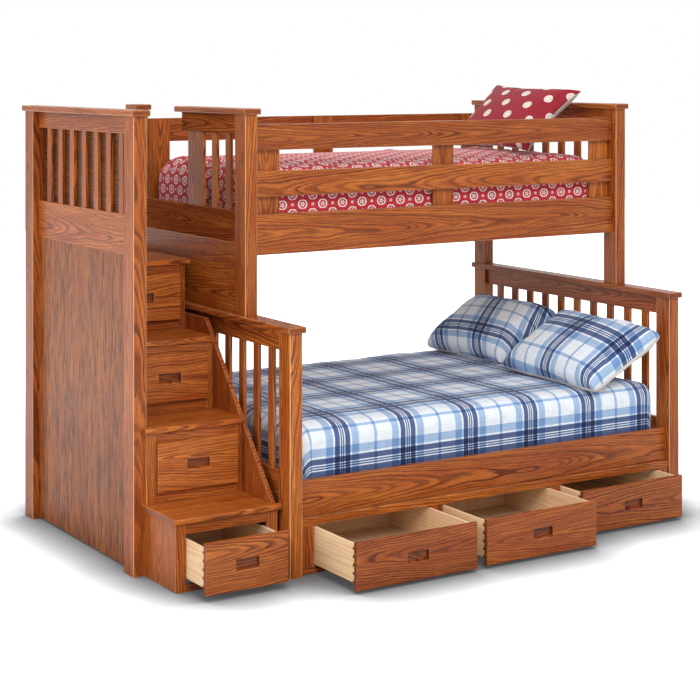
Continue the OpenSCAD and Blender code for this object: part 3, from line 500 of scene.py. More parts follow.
@dataclass(frozen=True)
class BlossomCotton(Cotton):
    """Printed cotton: white rings, each round a five-petalled blossom, in staggered rows on red."""

    name: str = "blossom_printed_cotton"
    ground: str = "#c4343e"
    ink: str = "#f6efea"
    cells: Lattice = Lattice(pitch=0.100, row=0.0425)
    ring: float = 0.0200  # the radius in metres, as for the blossom and the bud
    line: float = 0.0030  # half the ring's width
    blossom: float = 0.0125
    bud: float = 0.0085
    petals: float = 5.0
    notch: float = 0.3  # how deep the petals are parted, as a share of the flower's width
    heart: float = 0.26  # the open middle's width, as a share of the flower's

    def flower(self, t: NodeTree, spot: Node, far: Node, size: float) -> Node:
        """Adds one flower: inside its size less the notches between its petals, and outside its heart.

        Args:
            t: The material's tree.
            spot: The node with the place from the flower's middle.
            far: The node with the distance from there.
            size: The flower's radius.

        Returns:
            The node that is 1 on the petals.
        """
        xy = add(t, "SeparateXYZ", {0: spot})
        angle = add(t, "Math", {0: xy.outputs[1], 1: xy.outputs[0]}, operation="ARCTAN2")
        turns = add(t, "Math", {0: angle, 1: self.petals}, operation="MULTIPLY")
        wave = add(t, "Math", {0: turns}, operation="COSINE")
        edge = add(t, "Math", {0: wave, 1: self.notch * size, 2: (1 - self.notch) * size},
                   operation="MULTIPLY_ADD")
        inside = add(t, "Math", {0: far, 1: edge}, operation="LESS_THAN")
        outside = add(t, "Math", {0: far, 1: self.heart * size}, operation="GREATER_THAN")
        return add(t, "Math", {0: inside, 1: outside}, operation="MULTIPLY")

    def colour(self, t: NodeTree, place: NodeSocket, parts: Node) -> Node:
        """Adds the ringed blossoms and the buds between them on the ground.

        Args:
            t: The material's tree.
            place: The output with the place on the cloth; not used.
            parts: The node with its three numbers apart.

        Returns:
            The node with the colour.
        """
        mask = None
        for offset, size in ((0.0, self.blossom), (0.5, self.bud)):
            spot = self.cells.spot(t, parts, offset)
            far = add(t, "VectorMath", {0: spot}, operation="LENGTH")
            inked = [self.flower(t, spot, far, size)]
            if mask is None:
                inked.append(add(t, "Math", {0: far, 1: self.ring, 2: self.line}, operation="COMPARE"))
            for other in inked:
                mask = add(t, "Math", {0: mask, 1: other}, operation="MAXIMUM") if mask else other
        return add(t, "Mix", {0: mask, 6: linear(self.ground), 7: linear(self.ink)}, data_type="RGBA")


@dataclass(frozen=True)
class DottedCotton(Cotton):
    """Printed cotton: pale dots, each with a thin ring inside, in staggered rows on red; pale reverse."""

    name: str = "dotted_printed_cotton"
    ground: str = "#952330"
    dot: str = "#e2d8cd"
    mark: str = "#bfb2a2"
    reverse: str = "#d2cdc8"
    reverse_mark: str = "#7f7a77"
    cells: Lattice = Lattice(pitch=0.150, row=0.078, shift=(0.0815, 0.026), rows_along=0)
    radius: float = 0.0235  # metres
    ring: float = 0.6  # the ring's radius, as a share of the dot's
    line: float = 0.0014  # half the ring's width in metres
    sprigs: float = 62.0  # to a metre

    def colour(self, t: NodeTree, place: NodeSocket, parts: Node) -> Node:
        """Adds the ringed dots on the ground, and small sprigs on the reverse.

        Args:
            t: The material's tree.
            place: The output with the place on the cloth.
            parts: The node with its three numbers apart.

        Returns:
            The node with the colour.
        """
        far = add(t, "VectorMath", {0: self.cells.spot(t, parts, 0.0)}, operation="LENGTH")
        disc = add(t, "Math", {0: far, 1: self.radius}, operation="LESS_THAN")
        ring = add(t, "Math", {0: far, 1: self.ring * self.radius, 2: self.line}, operation="COMPARE")
        marked = add(t, "Mix", {0: ring, 6: linear(self.dot), 7: linear(self.mark)}, data_type="RGBA")
        face = add(t, "Mix", {0: disc, 6: linear(self.ground), 7: marked}, data_type="RGBA")
        sprig = add(t, "TexVoronoi", {"Vector": place, "Scale": self.sprigs, "Randomness": 0.7})
        leaf = add(t, "MapRange", {0: sprig.outputs["Distance"], 1: 0.30, 2: 0.38, 3: 1.0, 4: 0.0})
        under = add(t, "Mix", {0: leaf, 6: linear(self.reverse), 7: linear(self.reverse_mark)},
                    data_type="RGBA")
        return self.lined(t, parts, face, under)


def new_piece(name: str, points: np.ndarray, faces: list | np.ndarray) -> Object:
    """Makes an object at the origin from points and faces.

    Args:
        name: The object's name.
        points: One row a point, in metres.
        faces: The points' numbers round each face.

    Returns:
        The object, linked to the scene.
    """
    mesh = bpy.data.meshes.new(name)
    mesh.from_pydata(np.asarray(points, float).tolist(), [], [list(map(int, face)) for face in faces])
    mesh.validate()
    mesh.update()
    obj = bpy.data.objects.new(name, mesh)
    bpy.context.scene.collection.objects.link(obj)
    return obj


def give(mesh: Mesh, name: str, values: np.ndarray, domain: str = "POINT") -> None:
    """Writes a named attribute into a mesh.

    Args:
        mesh: The mesh.
        name: The attribute's name.
        values: One number, or one row of three, for each point or face.
        domain: POINT or FACE.
    """
    kind, item = ("FLOAT_VECTOR", "vector") if values.ndim == 2 else ("FLOAT", "value")
    layer = mesh.attributes.new(name, kind, domain)
    layer.data.foreach_set(item, np.ascontiguousarray(values, np.float32).ravel())


def read(rows: bpy.types.bpy_prop_collection, name: str, width: int = 1, kind: type = float) -> np.ndarray:
    """Reads one property of a mesh's points, faces or corners.

    Args:
        rows: The points, faces or corners.
        name: The property.
        width: How many numbers each of them has.
        kind: The numbers' type.

    Returns:
        The numbers, one row each where there are several.
    """
    values = np.empty(len(rows) * width, kind)
    rows.foreach_get(name, values)
    return values.reshape(-1, width) if width > 1 else values


def paint_shade(piece: Object, chosen: np.ndarray, tone: float) -> None:
    """Paints shade on the chosen points of a piece by setting them to a darker tone.

    Args:
        piece: The piece.
        chosen: Which points change.
        tone: Their new tone; 0 is the darkest board's, and less is darker still.
    """
    tones = piece.data.attributes["tone"].data
    values = read(tones, "value", kind=np.float32)
    values[chosen] = tone
    tones.foreach_set("value", values)


def mesh_arrays(obj: Object) -> tuple[np.ndarray, np.ndarray]:
    """Reads a mesh of triangles with its doubled points merged.

    Args:
        obj: The object to read.

    Returns:
        The points, one row each, and the three points of each triangle.
    """
    mesh = obj.data
    mesh.calc_loop_triangles()
    points = read(mesh.vertices, "co", 3)
    corners = read(mesh.loop_triangles, "vertices", 3, np.int64)
    keys = np.round(points * 1e5).astype(np.int64)
    _, first, number = np.unique(keys, axis=0, return_index=True, return_inverse=True)
    return points[first], number.ravel()[corners]


def numbers_of_solids(count: int, triangles: np.ndarray) -> np.ndarray:
    """Numbers the solids in a mesh: each point takes its neighbours' least number, until all agree.

    Args:
        count: How many points there are.
        triangles: The three points of each triangle.

    Returns:
        A number for each point, the same all over one solid.
    """
    number = np.arange(count)
    while True:
        least = number[triangles].min(axis=1)
        fresh = number.copy()
        for column in range(3):
            np.minimum.at(fresh, triangles[:, column], least)
        fresh = fresh[fresh]
        if np.array_equal(fresh, number):
            return number
        number = fresh


@dataclass
class Log:
    """Hands out places in the log, one for each board, from a seeded source.

    A wide board is flat-sawn, with the heart behind it, and a narrow one lies off to the heart's side.
    """

    seed: int
    wide_from: float = 0.075
    wide_heart: tuple = ((-0.30, 0.30), (0.022, 0.050))  # a share of the width across, and metres behind
    narrow_heart: tuple = ((0.04, 0.11), (0.03, 0.09))  # metres across, and metres behind
    start: tuple[float, float] = (2.0, 18.0)
    source: np.random.Generator = field(init=False)

    def __post_init__(self) -> None:
        """Starts the source from the seed."""
        self.source = np.random.default_rng(self.seed)

    def place(self, points: np.ndarray, low: np.ndarray, high: np.ndarray,
              grain: int) -> tuple[np.ndarray, float]:
        """Works out board coordinates: along the grain, across from the heart, and through from the heart.

        Args:
            points: The board's points.
            low: Its lowest corner.
            high: Its highest corner.
            grain: The axis that the grain follows.

        Returns:
            The coordinates of each point, and the board's tone from 0 to 1.
        """
        size = high - low
        wide, thin = sorted((axis for axis in range(3) if axis != grain), key=lambda axis: -size[axis])
        middle = (low + high) / 2
        draw = self.source.uniform
        if size[wide] > self.wide_from:
            heart = (draw(*self.wide_heart[0]) * size[wide], draw(*self.wide_heart[1]))
        else:
            heart = (draw(*self.narrow_heart[0]), draw(*self.narrow_heart[1]))
        coordinates = np.stack([
            points[:, grain] * self.source.choice([-1.0, 1.0]) + draw(*self.start),
            points[:, wide] - middle[wide] - heart[0],
            points[:, thin] - middle[thin] + heart[1]], axis=1)
        return coordinates, float(draw(0.0, 1.0))


def board_surface(low: np.ndarray, high: np.ndarray, grain: int, ease: float, rounded_ends: bool,
                  steps: int = 3) -> tuple[np.ndarray, list, list]:
    """Makes one board: an oblong profile with round corners, carried along the grain.

    The profile's corner points are the inner oblong's corners plus the radius times the cosine and sine
    of the angle. At an eased end the profile draws in by the radius less the root of the radius squared
    less the distance squared, which is a quarter circle.

    Args:
        low: The board's lowest corner.
        high: Its highest corner.
        grain: The axis that the profile is carried along.
        ease: The radius of its edges.
        rounded_ends: Whether its end edges are eased too, as where they show.
        steps: How many faces go round an eased edge.

    Returns:
        The points, the faces, facing outwards, and for each face whether it lies on an eased edge.
    """
    p, q = [(1, 2), (2, 0), (0, 1)][grain]
    half = (high - low) / 2
    middle = (high + low) / 2
    ease = min(ease, 0.45 * min(half))
    angle = np.radians(np.concatenate([np.linspace(k * 90, k * 90 + 90, steps + 1) for k in range(4)]))
    sign_p = np.repeat([1, -1, -1, 1], steps + 1)
    sign_q = np.repeat([1, 1, -1, -1], steps + 1)
    if rounded_ends:
        turn = np.linspace(0, math.pi / 2, steps + 1)
        inset = ease * (1 - np.sin(turn))
        at = ease * (1 - np.cos(turn))
        inset = np.concatenate([inset, inset[::-1]])
        at = np.concatenate([at, 2 * half[grain] - at[::-1]])
    else:
        inset = np.zeros(2)
        at = np.array([0.0, 2 * half[grain]])
    radius = np.maximum(ease - inset, 0.0)[:, None]
    count = len(angle)
    points = np.empty((len(at), count, 3))
    points[:, :, grain] = low[grain] + at[:, None]
    points[:, :, p] = middle[p] + sign_p * (half[p] - ease) + radius * np.cos(angle)
    points[:, :, q] = middle[q] + sign_q * (half[q] - ease) + radius * np.sin(angle)
    ring = np.arange(count)
    after = (ring + 1) % count
    start = np.arange(len(at) - 1)[:, None] * count
    quads = np.stack([start + ring, start + after, start + count + after, start + count + ring], -1)
    corner = np.tile(ring % (steps + 1) != steps, (len(at) - 1, 1))
    end_band = np.arange(len(at) - 1) != (len(at) - 1) // 2
    eased = (corner | end_band[:, None]).ravel().astype(float).tolist()
    last = (len(at) - 1) * count
    return points.reshape(-1, 3), [*quads.reshape(-1, 4), ring[::-1], last + ring], eased + [0.0, 0.0]


@dataclass(frozen=True)
class Solids:
    """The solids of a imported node: its points, its triangles, and the solid that each point belongs to."""

    points: np.ndarray
    triangles: np.ndarray
    number: np.ndarray

    def each(self) -> list[tuple[np.ndarray, np.ndarray, np.ndarray]]:
        """Lists the solids.

        Returns:
            For each solid which points it has, its lowest corner, and its highest corner.
        """
        masks = [self.number == label for label in np.unique(self.number)]
        return [(mask, self.points[mask].min(0), self.points[mask].max(0)) for mask in masks]


@dataclass
class Boards:
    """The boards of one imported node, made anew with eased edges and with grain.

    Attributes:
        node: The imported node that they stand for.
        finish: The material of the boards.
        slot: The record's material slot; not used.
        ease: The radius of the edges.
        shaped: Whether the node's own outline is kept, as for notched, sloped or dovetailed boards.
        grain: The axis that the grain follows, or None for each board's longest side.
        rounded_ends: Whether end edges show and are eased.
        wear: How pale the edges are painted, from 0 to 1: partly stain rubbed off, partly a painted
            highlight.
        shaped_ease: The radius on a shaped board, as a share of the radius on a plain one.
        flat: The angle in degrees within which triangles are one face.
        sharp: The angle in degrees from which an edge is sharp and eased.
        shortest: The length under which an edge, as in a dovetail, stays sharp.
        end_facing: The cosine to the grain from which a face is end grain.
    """

    node: str
    finish: Material
    slot: str
    ease: float
    shaped: bool = False
    grain: int | None = None
    rounded_ends: bool = False
    wear: float = 0.2
    shaped_ease: float = 0.7
    flat: float = 0.5
    sharp: float = 40.0
    shortest: float = 0.022
    end_facing: float = 0.8

    def build(self, logs: Log) -> Object:
        """Makes the piece and ties it to the node that it stands for.

        Args:
            logs: Where the boards are sawn from.

        Returns:
            The finished piece.
        """
        source = frame["nodes"][self.node]
        points, triangles = mesh_arrays(source)
        solids = Solids(points, triangles, numbers_of_solids(len(points), triangles))
        obj = (self.kept if self.shaped else self.sawn_anew)(solids, logs)
        obj.data.materials.append(self.finish)
        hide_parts(self.node)
        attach(obj, source["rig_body"])
        log.info("%s: %d boards, %d faces", obj.name, len(solids.each()), len(obj.data.polygons))
        return obj

    def axis_of(self, low: np.ndarray, high: np.ndarray) -> int:
        """Gives the axis that a board's grain follows."""
        return int(np.argmax(high - low)) if self.grain is None else self.grain

    def sawn_anew(self, solids: Solids, logs: Log) -> Object:
        """Makes each solid's box into a board with eased edges.

        Args:
            solids: The node's solids.
            logs: Where the boards are sawn from.

        Returns:
            The piece.
        """
        made, faces, places, tones, ends, worn, start = [], [], [], [], [], [], 0
        for _, low, high in solids.each():
            grain = self.axis_of(low, high)
            shape, quads, eased = board_surface(low, high, grain, self.ease, self.rounded_ends)
            place, tone = logs.place(shape, low, high, grain)
            made.append(shape)
            faces += [np.asarray(quad) + start for quad in quads]
            places.append(place)
            tones.append(np.full(len(shape), tone))
            ends += [0.0] * (len(quads) - 2) + [1.0, 1.0]
            worn += eased
            start += len(shape)
        obj = new_piece(self.node + "_wood", np.concatenate(made), faces)
        give(obj.data, "grain", np.concatenate(places))
        give(obj.data, "tone", np.concatenate(tones))
        give(obj.data, "end_grain", np.array(ends), "FACE")
        # eased edges painted paler: partly rubbed-off stain, partly a painted highlight
        give(obj.data, "worn", self.wear * np.array(worn), "FACE")
        return obj

    def kept(self, solids: Solids, logs: Log) -> Object:
        """Keeps the node's outline, joins its flat triangles, and eases its long sharp edges.

        Args:
            solids: The node's solids.
            logs: Where the boards are sawn from.

        Returns:
            The piece.
        """
        points = solids.points
        obj = new_piece(self.node + "_wood", points, solids.triangles)
        places, tones, axes = np.zeros((len(points), 3)), np.zeros(len(points)), np.zeros(len(points))
        for mask, low, high in solids.each():
            grain = self.axis_of(low, high)
            axes[mask] = grain
            places[mask], tones[mask] = logs.place(points[mask], low, high, grain)
        for name, values in (("grain", places), ("tone", tones), ("axis", axes)):
            give(obj.data, name, values)
        give(obj.data, "worn", np.zeros(len(obj.data.polygons)), "FACE")
        shape = bmesh.new()
        shape.from_mesh(obj.data)
        bmesh.ops.dissolve_limit(shape, angle_limit=math.radians(self.flat), verts=shape.verts,
                                 edges=shape.edges)
        sharp = [e for e in shape.edges if len(e.link_faces) == 2 and e.calc_length() > self.shortest
                 and e.calc_face_angle(0.0) > math.radians(self.sharp) and e.is_convex]
        eased = bmesh.ops.bevel(shape, geom=sharp, offset=self.ease * self.shaped_ease, segments=2,
                                offset_type="OFFSET", profile=0.5, affect="EDGES", clamp_overlap=False)
        # bevelled edges painted paler: partly rubbed-off stain, partly a painted highlight
        worn = shape.faces.layers.float["worn"]
        for face in eased["faces"]:
            face[worn] = self.wear
        bmesh.ops.triangulate(shape, faces=[f for f in shape.faces if len(f.verts) > 4])
        shape.to_mesh(obj.data)
        shape.free()
        self.mark_ends(obj.data)
        return obj

    def mark_ends(self, mesh: Mesh) -> None:
        """Marks the faces that look along the grain as end grain.

        Args:
            mesh: The piece's mesh, with the grain's axis on each point, which is then dropped.
        """
        corners = read(mesh.loops, "vertex_index", kind=np.int64)
        starts = read(mesh.polygons, "loop_start", kind=np.int64)
        axes = read(mesh.attributes["axis"].data, "value", kind=np.float32)
        own = np.round(axes[corners[starts]]).astype(int)
        facing = np.abs(read(mesh.polygons, "normal", 3)[np.arange(len(own)), own])
        give(mesh, "end_grain", (facing > self.end_facing).astype(float), "FACE")
        mesh.attributes.remove(mesh.attributes["axis"])


@dataclass
class Joinery:
    """What every wooden sub-assembly shares: its stock of woods, its log, and the edges of caps and slats."""

    stock: dict[Wood, Material]
    seed: int
    cap_edge: float = 0.0045
    slat_edge: float = 0.0020

    def __post_init__(self) -> None:
        """Picks the log."""
        self.logs = Log(self.seed)

    def saw(self, wood: Wood, *nodes: str, **choices: object) -> list[Object]:
        """Saws nodes from one wood.

        Args:
            wood: The wood.
            nodes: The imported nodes.
            choices: Other fields of Boards.

        Returns:
            The pieces, in the nodes' order.
        """
        settings = {"slot": wood.value.slot, "ease": wood.value.ease, **choices}
        return [Boards(node, self.stock[wood], **settings).build(self.logs) for node in nodes]


@dataclass
class StairEnd(Joinery):
    """The stair's outer end: two posts under one cap, three rails, slats, and the panels behind them."""

    slats_from: float = 1.40
    # tone of the painted shade on the panel behind the slats
    painted_shade_tone: float = -1.35

    def build(self) -> None:
        """Makes the end frame and its panels; the thin panel behind the slats is darkened as painted shade.
        """
        # the posts' edges get the strongest painted highlight
        self.saw(Wood.OAK, "stair_posts", wear=1.0)
        self.saw(Wood.OAK, "stair_end_rails")
        self.saw(Wood.OAK, "stair_slats", ease=self.slat_edge)
        self.saw(Wood.OAK, "stair_cap", ease=self.cap_edge, rounded_ends=True)
        panels, = self.saw(Wood.VENEER, "stair_end_panel")
        # painted shade: the panel above the slats' foot is darkened
        heights = read(panels.data.vertices, "co", 3)[:, 2]
        paint_shade(panels, heights > self.slats_from, self.painted_shade_tone)


@dataclass
class StairUnit(Joinery):
    """The stair's carcass: stepped sides, four treads, face frames, a back, and the drawers' runners."""

    side_edge: float = 0.0030
    tread_edge: float = 0.0050

    def build(self) -> None:
        """Makes the carcass; its sides' grain stands upright and its treads' grain runs across."""
        self.saw(Wood.OAK, "stair_side_left", "stair_side_right", shaped=True, grain=2, ease=self.side_edge)
        self.saw(Wood.OAK, "tread_1", "tread_2", "tread_3", "tread_4", shaped=True, grain=0,
                 ease=self.tread_edge)
        self.saw(Wood.OAK, "stair_face_frames")
        self.saw(Wood.VENEER, "stair_back")
        self.saw(Wood.MAPLE, "stair_drawer_runners")


@dataclass
class Drawer(Joinery):
    """One drawer: an oak front with a sunk finger pull, and a dovetailed maple box."""

    name: str = ""
    front_edge: float = 0.0036
    box_edge: float = 0.0032
    rim: float = 0.012
    pull_painted_shade: float = -0.75

    def build(self) -> None:
        """Makes the front and the box; painted shade darkens the sunk pull.

        The pull's floor is every point that lies within the front's thickness and further than the rim
        from its outline.
        """
        front, = self.saw(Wood.OAK, self.name + "_front", shaped=True, ease=self.front_edge)
        points = read(front.data.vertices, "co", 3)
        inset = np.minimum(points - points.min(0), points.max(0) - points)
        # painted shade darkens the pull's floor and walls
        paint_shade(front, (inset > [self.rim, self.front_edge, self.rim]).all(1), self.pull_painted_shade)
        self.saw(Wood.MAPLE, self.name + "_box", shaped=True, ease=self.box_edge)


@dataclass
class LowerBunk(Joinery):
    """The full-size bed: four capped posts, two slatted ends, side rails, and the slats it lies on."""

    def build(self) -> None:
        """Makes the ends, the side rails and the bed slats."""
        # the posts' edges get the strongest painted highlight
        self.saw(Wood.OAK, "full_posts", wear=1.0)
        self.saw(Wood.OAK, "footboard_rails", "headboard_rails", "full_side_rails")
        self.saw(Wood.OAK, "footboard_slats", "headboard_slats", ease=self.slat_edge)
        self.saw(Wood.OAK, "full_caps", ease=self.cap_edge, rounded_ends=True)
        self.saw(Wood.MAPLE, "full_bed_slats", "slat_cleats")


@dataclass
class UpperBunk(Joinery):
    """The twin bed: four capped posts, slatted ends, side rails, guard boards on stiles, and bed slats."""

    def build(self) -> None:
        """Makes the ends, the guards, the side rails and the bed slats."""
        # the posts' edges get the strongest painted highlight
        self.saw(Wood.OAK, "twin_posts", wear=1.0)
        self.saw(Wood.DULL_OAK, "twin_left_rails")
        self.saw(Wood.OAK, "twin_left_board", "twin_right_rails", "twin_side_rails", "guard_boards",
                 "guard_stiles")
        self.saw(Wood.OAK, "twin_left_slats", "twin_right_slats", ease=self.slat_edge)
        self.saw(Wood.OAK, "twin_caps", ease=self.cap_edge, rounded_ends=True)
        self.saw(Wood.MAPLE, "twin_bed_slats")


@dataclass
class DrawerUnit(Joinery):
    """The unit under the lower bed: its frame, its dividers, its back, and the drawers' runners."""

    def build(self) -> None:
        """Makes the unit."""
        self.saw(Wood.OAK, "drawer_unit_frame", "drawer_unit_dividers")
        self.saw(Wood.VENEER, "drawer_unit_back")
        self.saw(Wood.MAPLE, "bed_drawer_runners")


@dataclass
class Fittings:
    """The steel pins, brackets and bolts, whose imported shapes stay."""

    steel: Material
    nodes: tuple[str, ...] = ("alignment_pins", "rail_brackets", "bracket_bolts")

    def build(self) -> None:
        """Gives every fitting the steel finish."""
        for name in self.nodes:
            mesh = frame["nodes"][name].data
            mesh.materials.clear()
            mesh.materials.append(self.steel)
            log.info("%s: dressed", name)


@dataclass(frozen=True)
class Creases:
    """Soft creases in cloth, each a hump whose height falls off along and across its line.

    The height is the sum of each crease's own height times e to the minus the square of the distance
    across over its width, less the square of the distance along over its length.
    """

    seed: int
    number: int
    width: tuple[float, float]
    length: tuple[float, float]
    height: tuple[float, float]
    swing: float = 0.7  # radians by which a crease turns off the line from the middle, at most
    hollow: float = 0.4  # chance of a hollow against a chance of 1 of a hump

    def heights(self, x: np.ndarray, y: np.ndarray, half: tuple[float, float], inward: float) -> np.ndarray:
        """Works out the height at each point of a cloth that reaches to plus and minus half.

        Args:
            x: The points' first length from the middle.
            y: Their second length.
            half: Where the cloth's edge or bend lies, both ways.
            inward: How far from there the creases start, at most.

        Returns:
            The heights, in metres.
        """
        draw = np.random.default_rng(self.seed).uniform
        side = draw(0, 2 * math.pi, self.number)
        reach = np.maximum(np.abs(np.cos(side)), np.abs(np.sin(side)))
        at_x = np.cos(side) / reach * (half[0] - draw(0, inward, self.number))
        at_y = np.sin(side) / reach * (half[1] - draw(0, inward, self.number))
        heading = np.arctan2(at_y, at_x) + draw(-self.swing, self.swing, self.number)
        wide, long = draw(*self.width, self.number), draw(*self.length, self.number)
        high = draw(*self.height, self.number) * np.sign(draw(-self.hollow, 1.0, self.number))
        dx, dy = x[..., None] - at_x, y[..., None] - at_y
        along = dx * np.cos(heading) + dy * np.sin(heading)
        across = dy * np.cos(heading) - dx * np.sin(heading)
        return (high * np.exp(-(across / wide) ** 2 - (along / long) ** 2)).sum(-1)


@dataclass
class Cover:
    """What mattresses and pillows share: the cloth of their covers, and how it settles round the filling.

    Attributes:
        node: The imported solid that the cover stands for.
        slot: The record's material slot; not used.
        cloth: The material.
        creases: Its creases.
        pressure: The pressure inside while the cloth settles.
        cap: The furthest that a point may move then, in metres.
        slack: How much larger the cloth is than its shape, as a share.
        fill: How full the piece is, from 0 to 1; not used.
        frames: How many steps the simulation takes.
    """

    node: str
    slot: str
    cloth: Material
    creases: Creases
    pressure: float = 2.0
    cap: float = 0.006
    slack: float = 0.012
    fill: float = 0.95
    frames: int = 20

    def settle(self, obj: Object, held: np.ndarray) -> None:
        """Blows the cover up from inside with a cloth simulation and keeps the result.

        A point's move m is kept as cap times tanh of its length over cap, so that none goes past the cap.

        Args:
            obj: The closed cover.
            held: Which points stay where they are.
        """
        scene = bpy.context.scene
        rest = read(obj.data.vertices, "co", 3)
        cloth = obj.modifiers.new("cover", "CLOTH")
        for name, value in COVER_CLOTH.items():
            setattr(cloth.settings, name, value)
        cloth.settings.uniform_pressure_force = self.pressure
        cloth.settings.effector_weights.gravity = 0
        cloth.settings.shrink_min = -self.slack
        if held.any():
            group = obj.vertex_groups.new(name="held")
            group.add(np.flatnonzero(held).tolist(), 1.0, "REPLACE")
            cloth.settings.vertex_group_mass = "held"
        cloth.collision_settings.use_collision = False
        cloth.point_cache.frame_start = 1
        cloth.point_cache.frame_end = self.frames
        for number in range(1, self.frames + 1):
            scene.frame_set(number)
        shaped = obj.evaluated_get(bpy.context.evaluated_depsgraph_get())
        move = read(shaped.data.vertices, "co", 3) - rest
        obj.modifiers.remove(cloth)
        length = np.maximum(np.linalg.norm(move, axis=1, keepdims=True), 1e-9)
        move *= self.cap * np.tanh(length / self.cap) / length
        obj.data.vertices.foreach_set("co", (rest + move).ravel())
        obj.data.update()
        obj.vertex_groups.clear()
        scene.frame_set(1)

    def finish(self, name: str, points: np.ndarray, faces: np.ndarray, places: np.ndarray,
               held: np.ndarray) -> None:
        """Makes the cover, settles and smooths it, and ties it to the solid that it stands for.

        Args:
            name: The piece's name.
            points: Its points.
            faces: Its faces.
            places: Each point's place on the cloth.
            held: Which points stay where they are while it settles.
        """
        obj = new_piece(name, points, faces)
        give(obj.data, "cloth", places)
        self.settle(obj, held)
        obj.data.shade_smooth()
        obj.data.materials.append(self.cloth)
        smooth = obj.modifiers.new("smooth", "SUBSURF")
        smooth.levels = smooth.render_levels = 1
        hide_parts(self.node)
        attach(obj, frame["nodes"][self.node]["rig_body"])
        log.info("%s: %d faces", obj.name, len(obj.data.polygons))


def grid_faces(numbers: np.ndarray, flip: bool = False) -> np.ndarray:
    """Lists the four-sided faces of a grid of points.

    Args:
        numbers: The points' numbers, one row of the grid a row.
        flip: Whether the faces look the other way.

    Returns:
        The faces, one row each.
    """
    quads = np.stack([numbers[:-1, :-1], numbers[1:, :-1], numbers[1:, 1:], numbers[:-1, 1:]], -1)
    return quads.reshape(-1, 4)[:, ::-1] if flip else quads.reshape(-1, 4)


def two_sided(top: np.ndarray, under: np.ndarray) -> tuple[np.ndarray, np.ndarray]:
    """Joins two grids of points along their shared edge into one closed shell.

    Args:
        top: The upper grid, rows by columns by three.
        under: The lower grid, of the same size, with the same edge.

    Returns:
        The points and the faces.
    """
    rows, columns = top.shape[:2]
    upper = np.arange(rows * columns).reshape(rows, columns)
    lower = upper.copy()
    lower[1:-1, 1:-1] = rows * columns + np.arange((rows - 2) * (columns - 2)).reshape(rows - 2, columns - 2)
    points = np.concatenate([top.reshape(-1, 3), under[1:-1, 1:-1].reshape(-1, 3)])
    return points, np.concatenate([grid_faces(upper), grid_faces(lower, flip=True)])


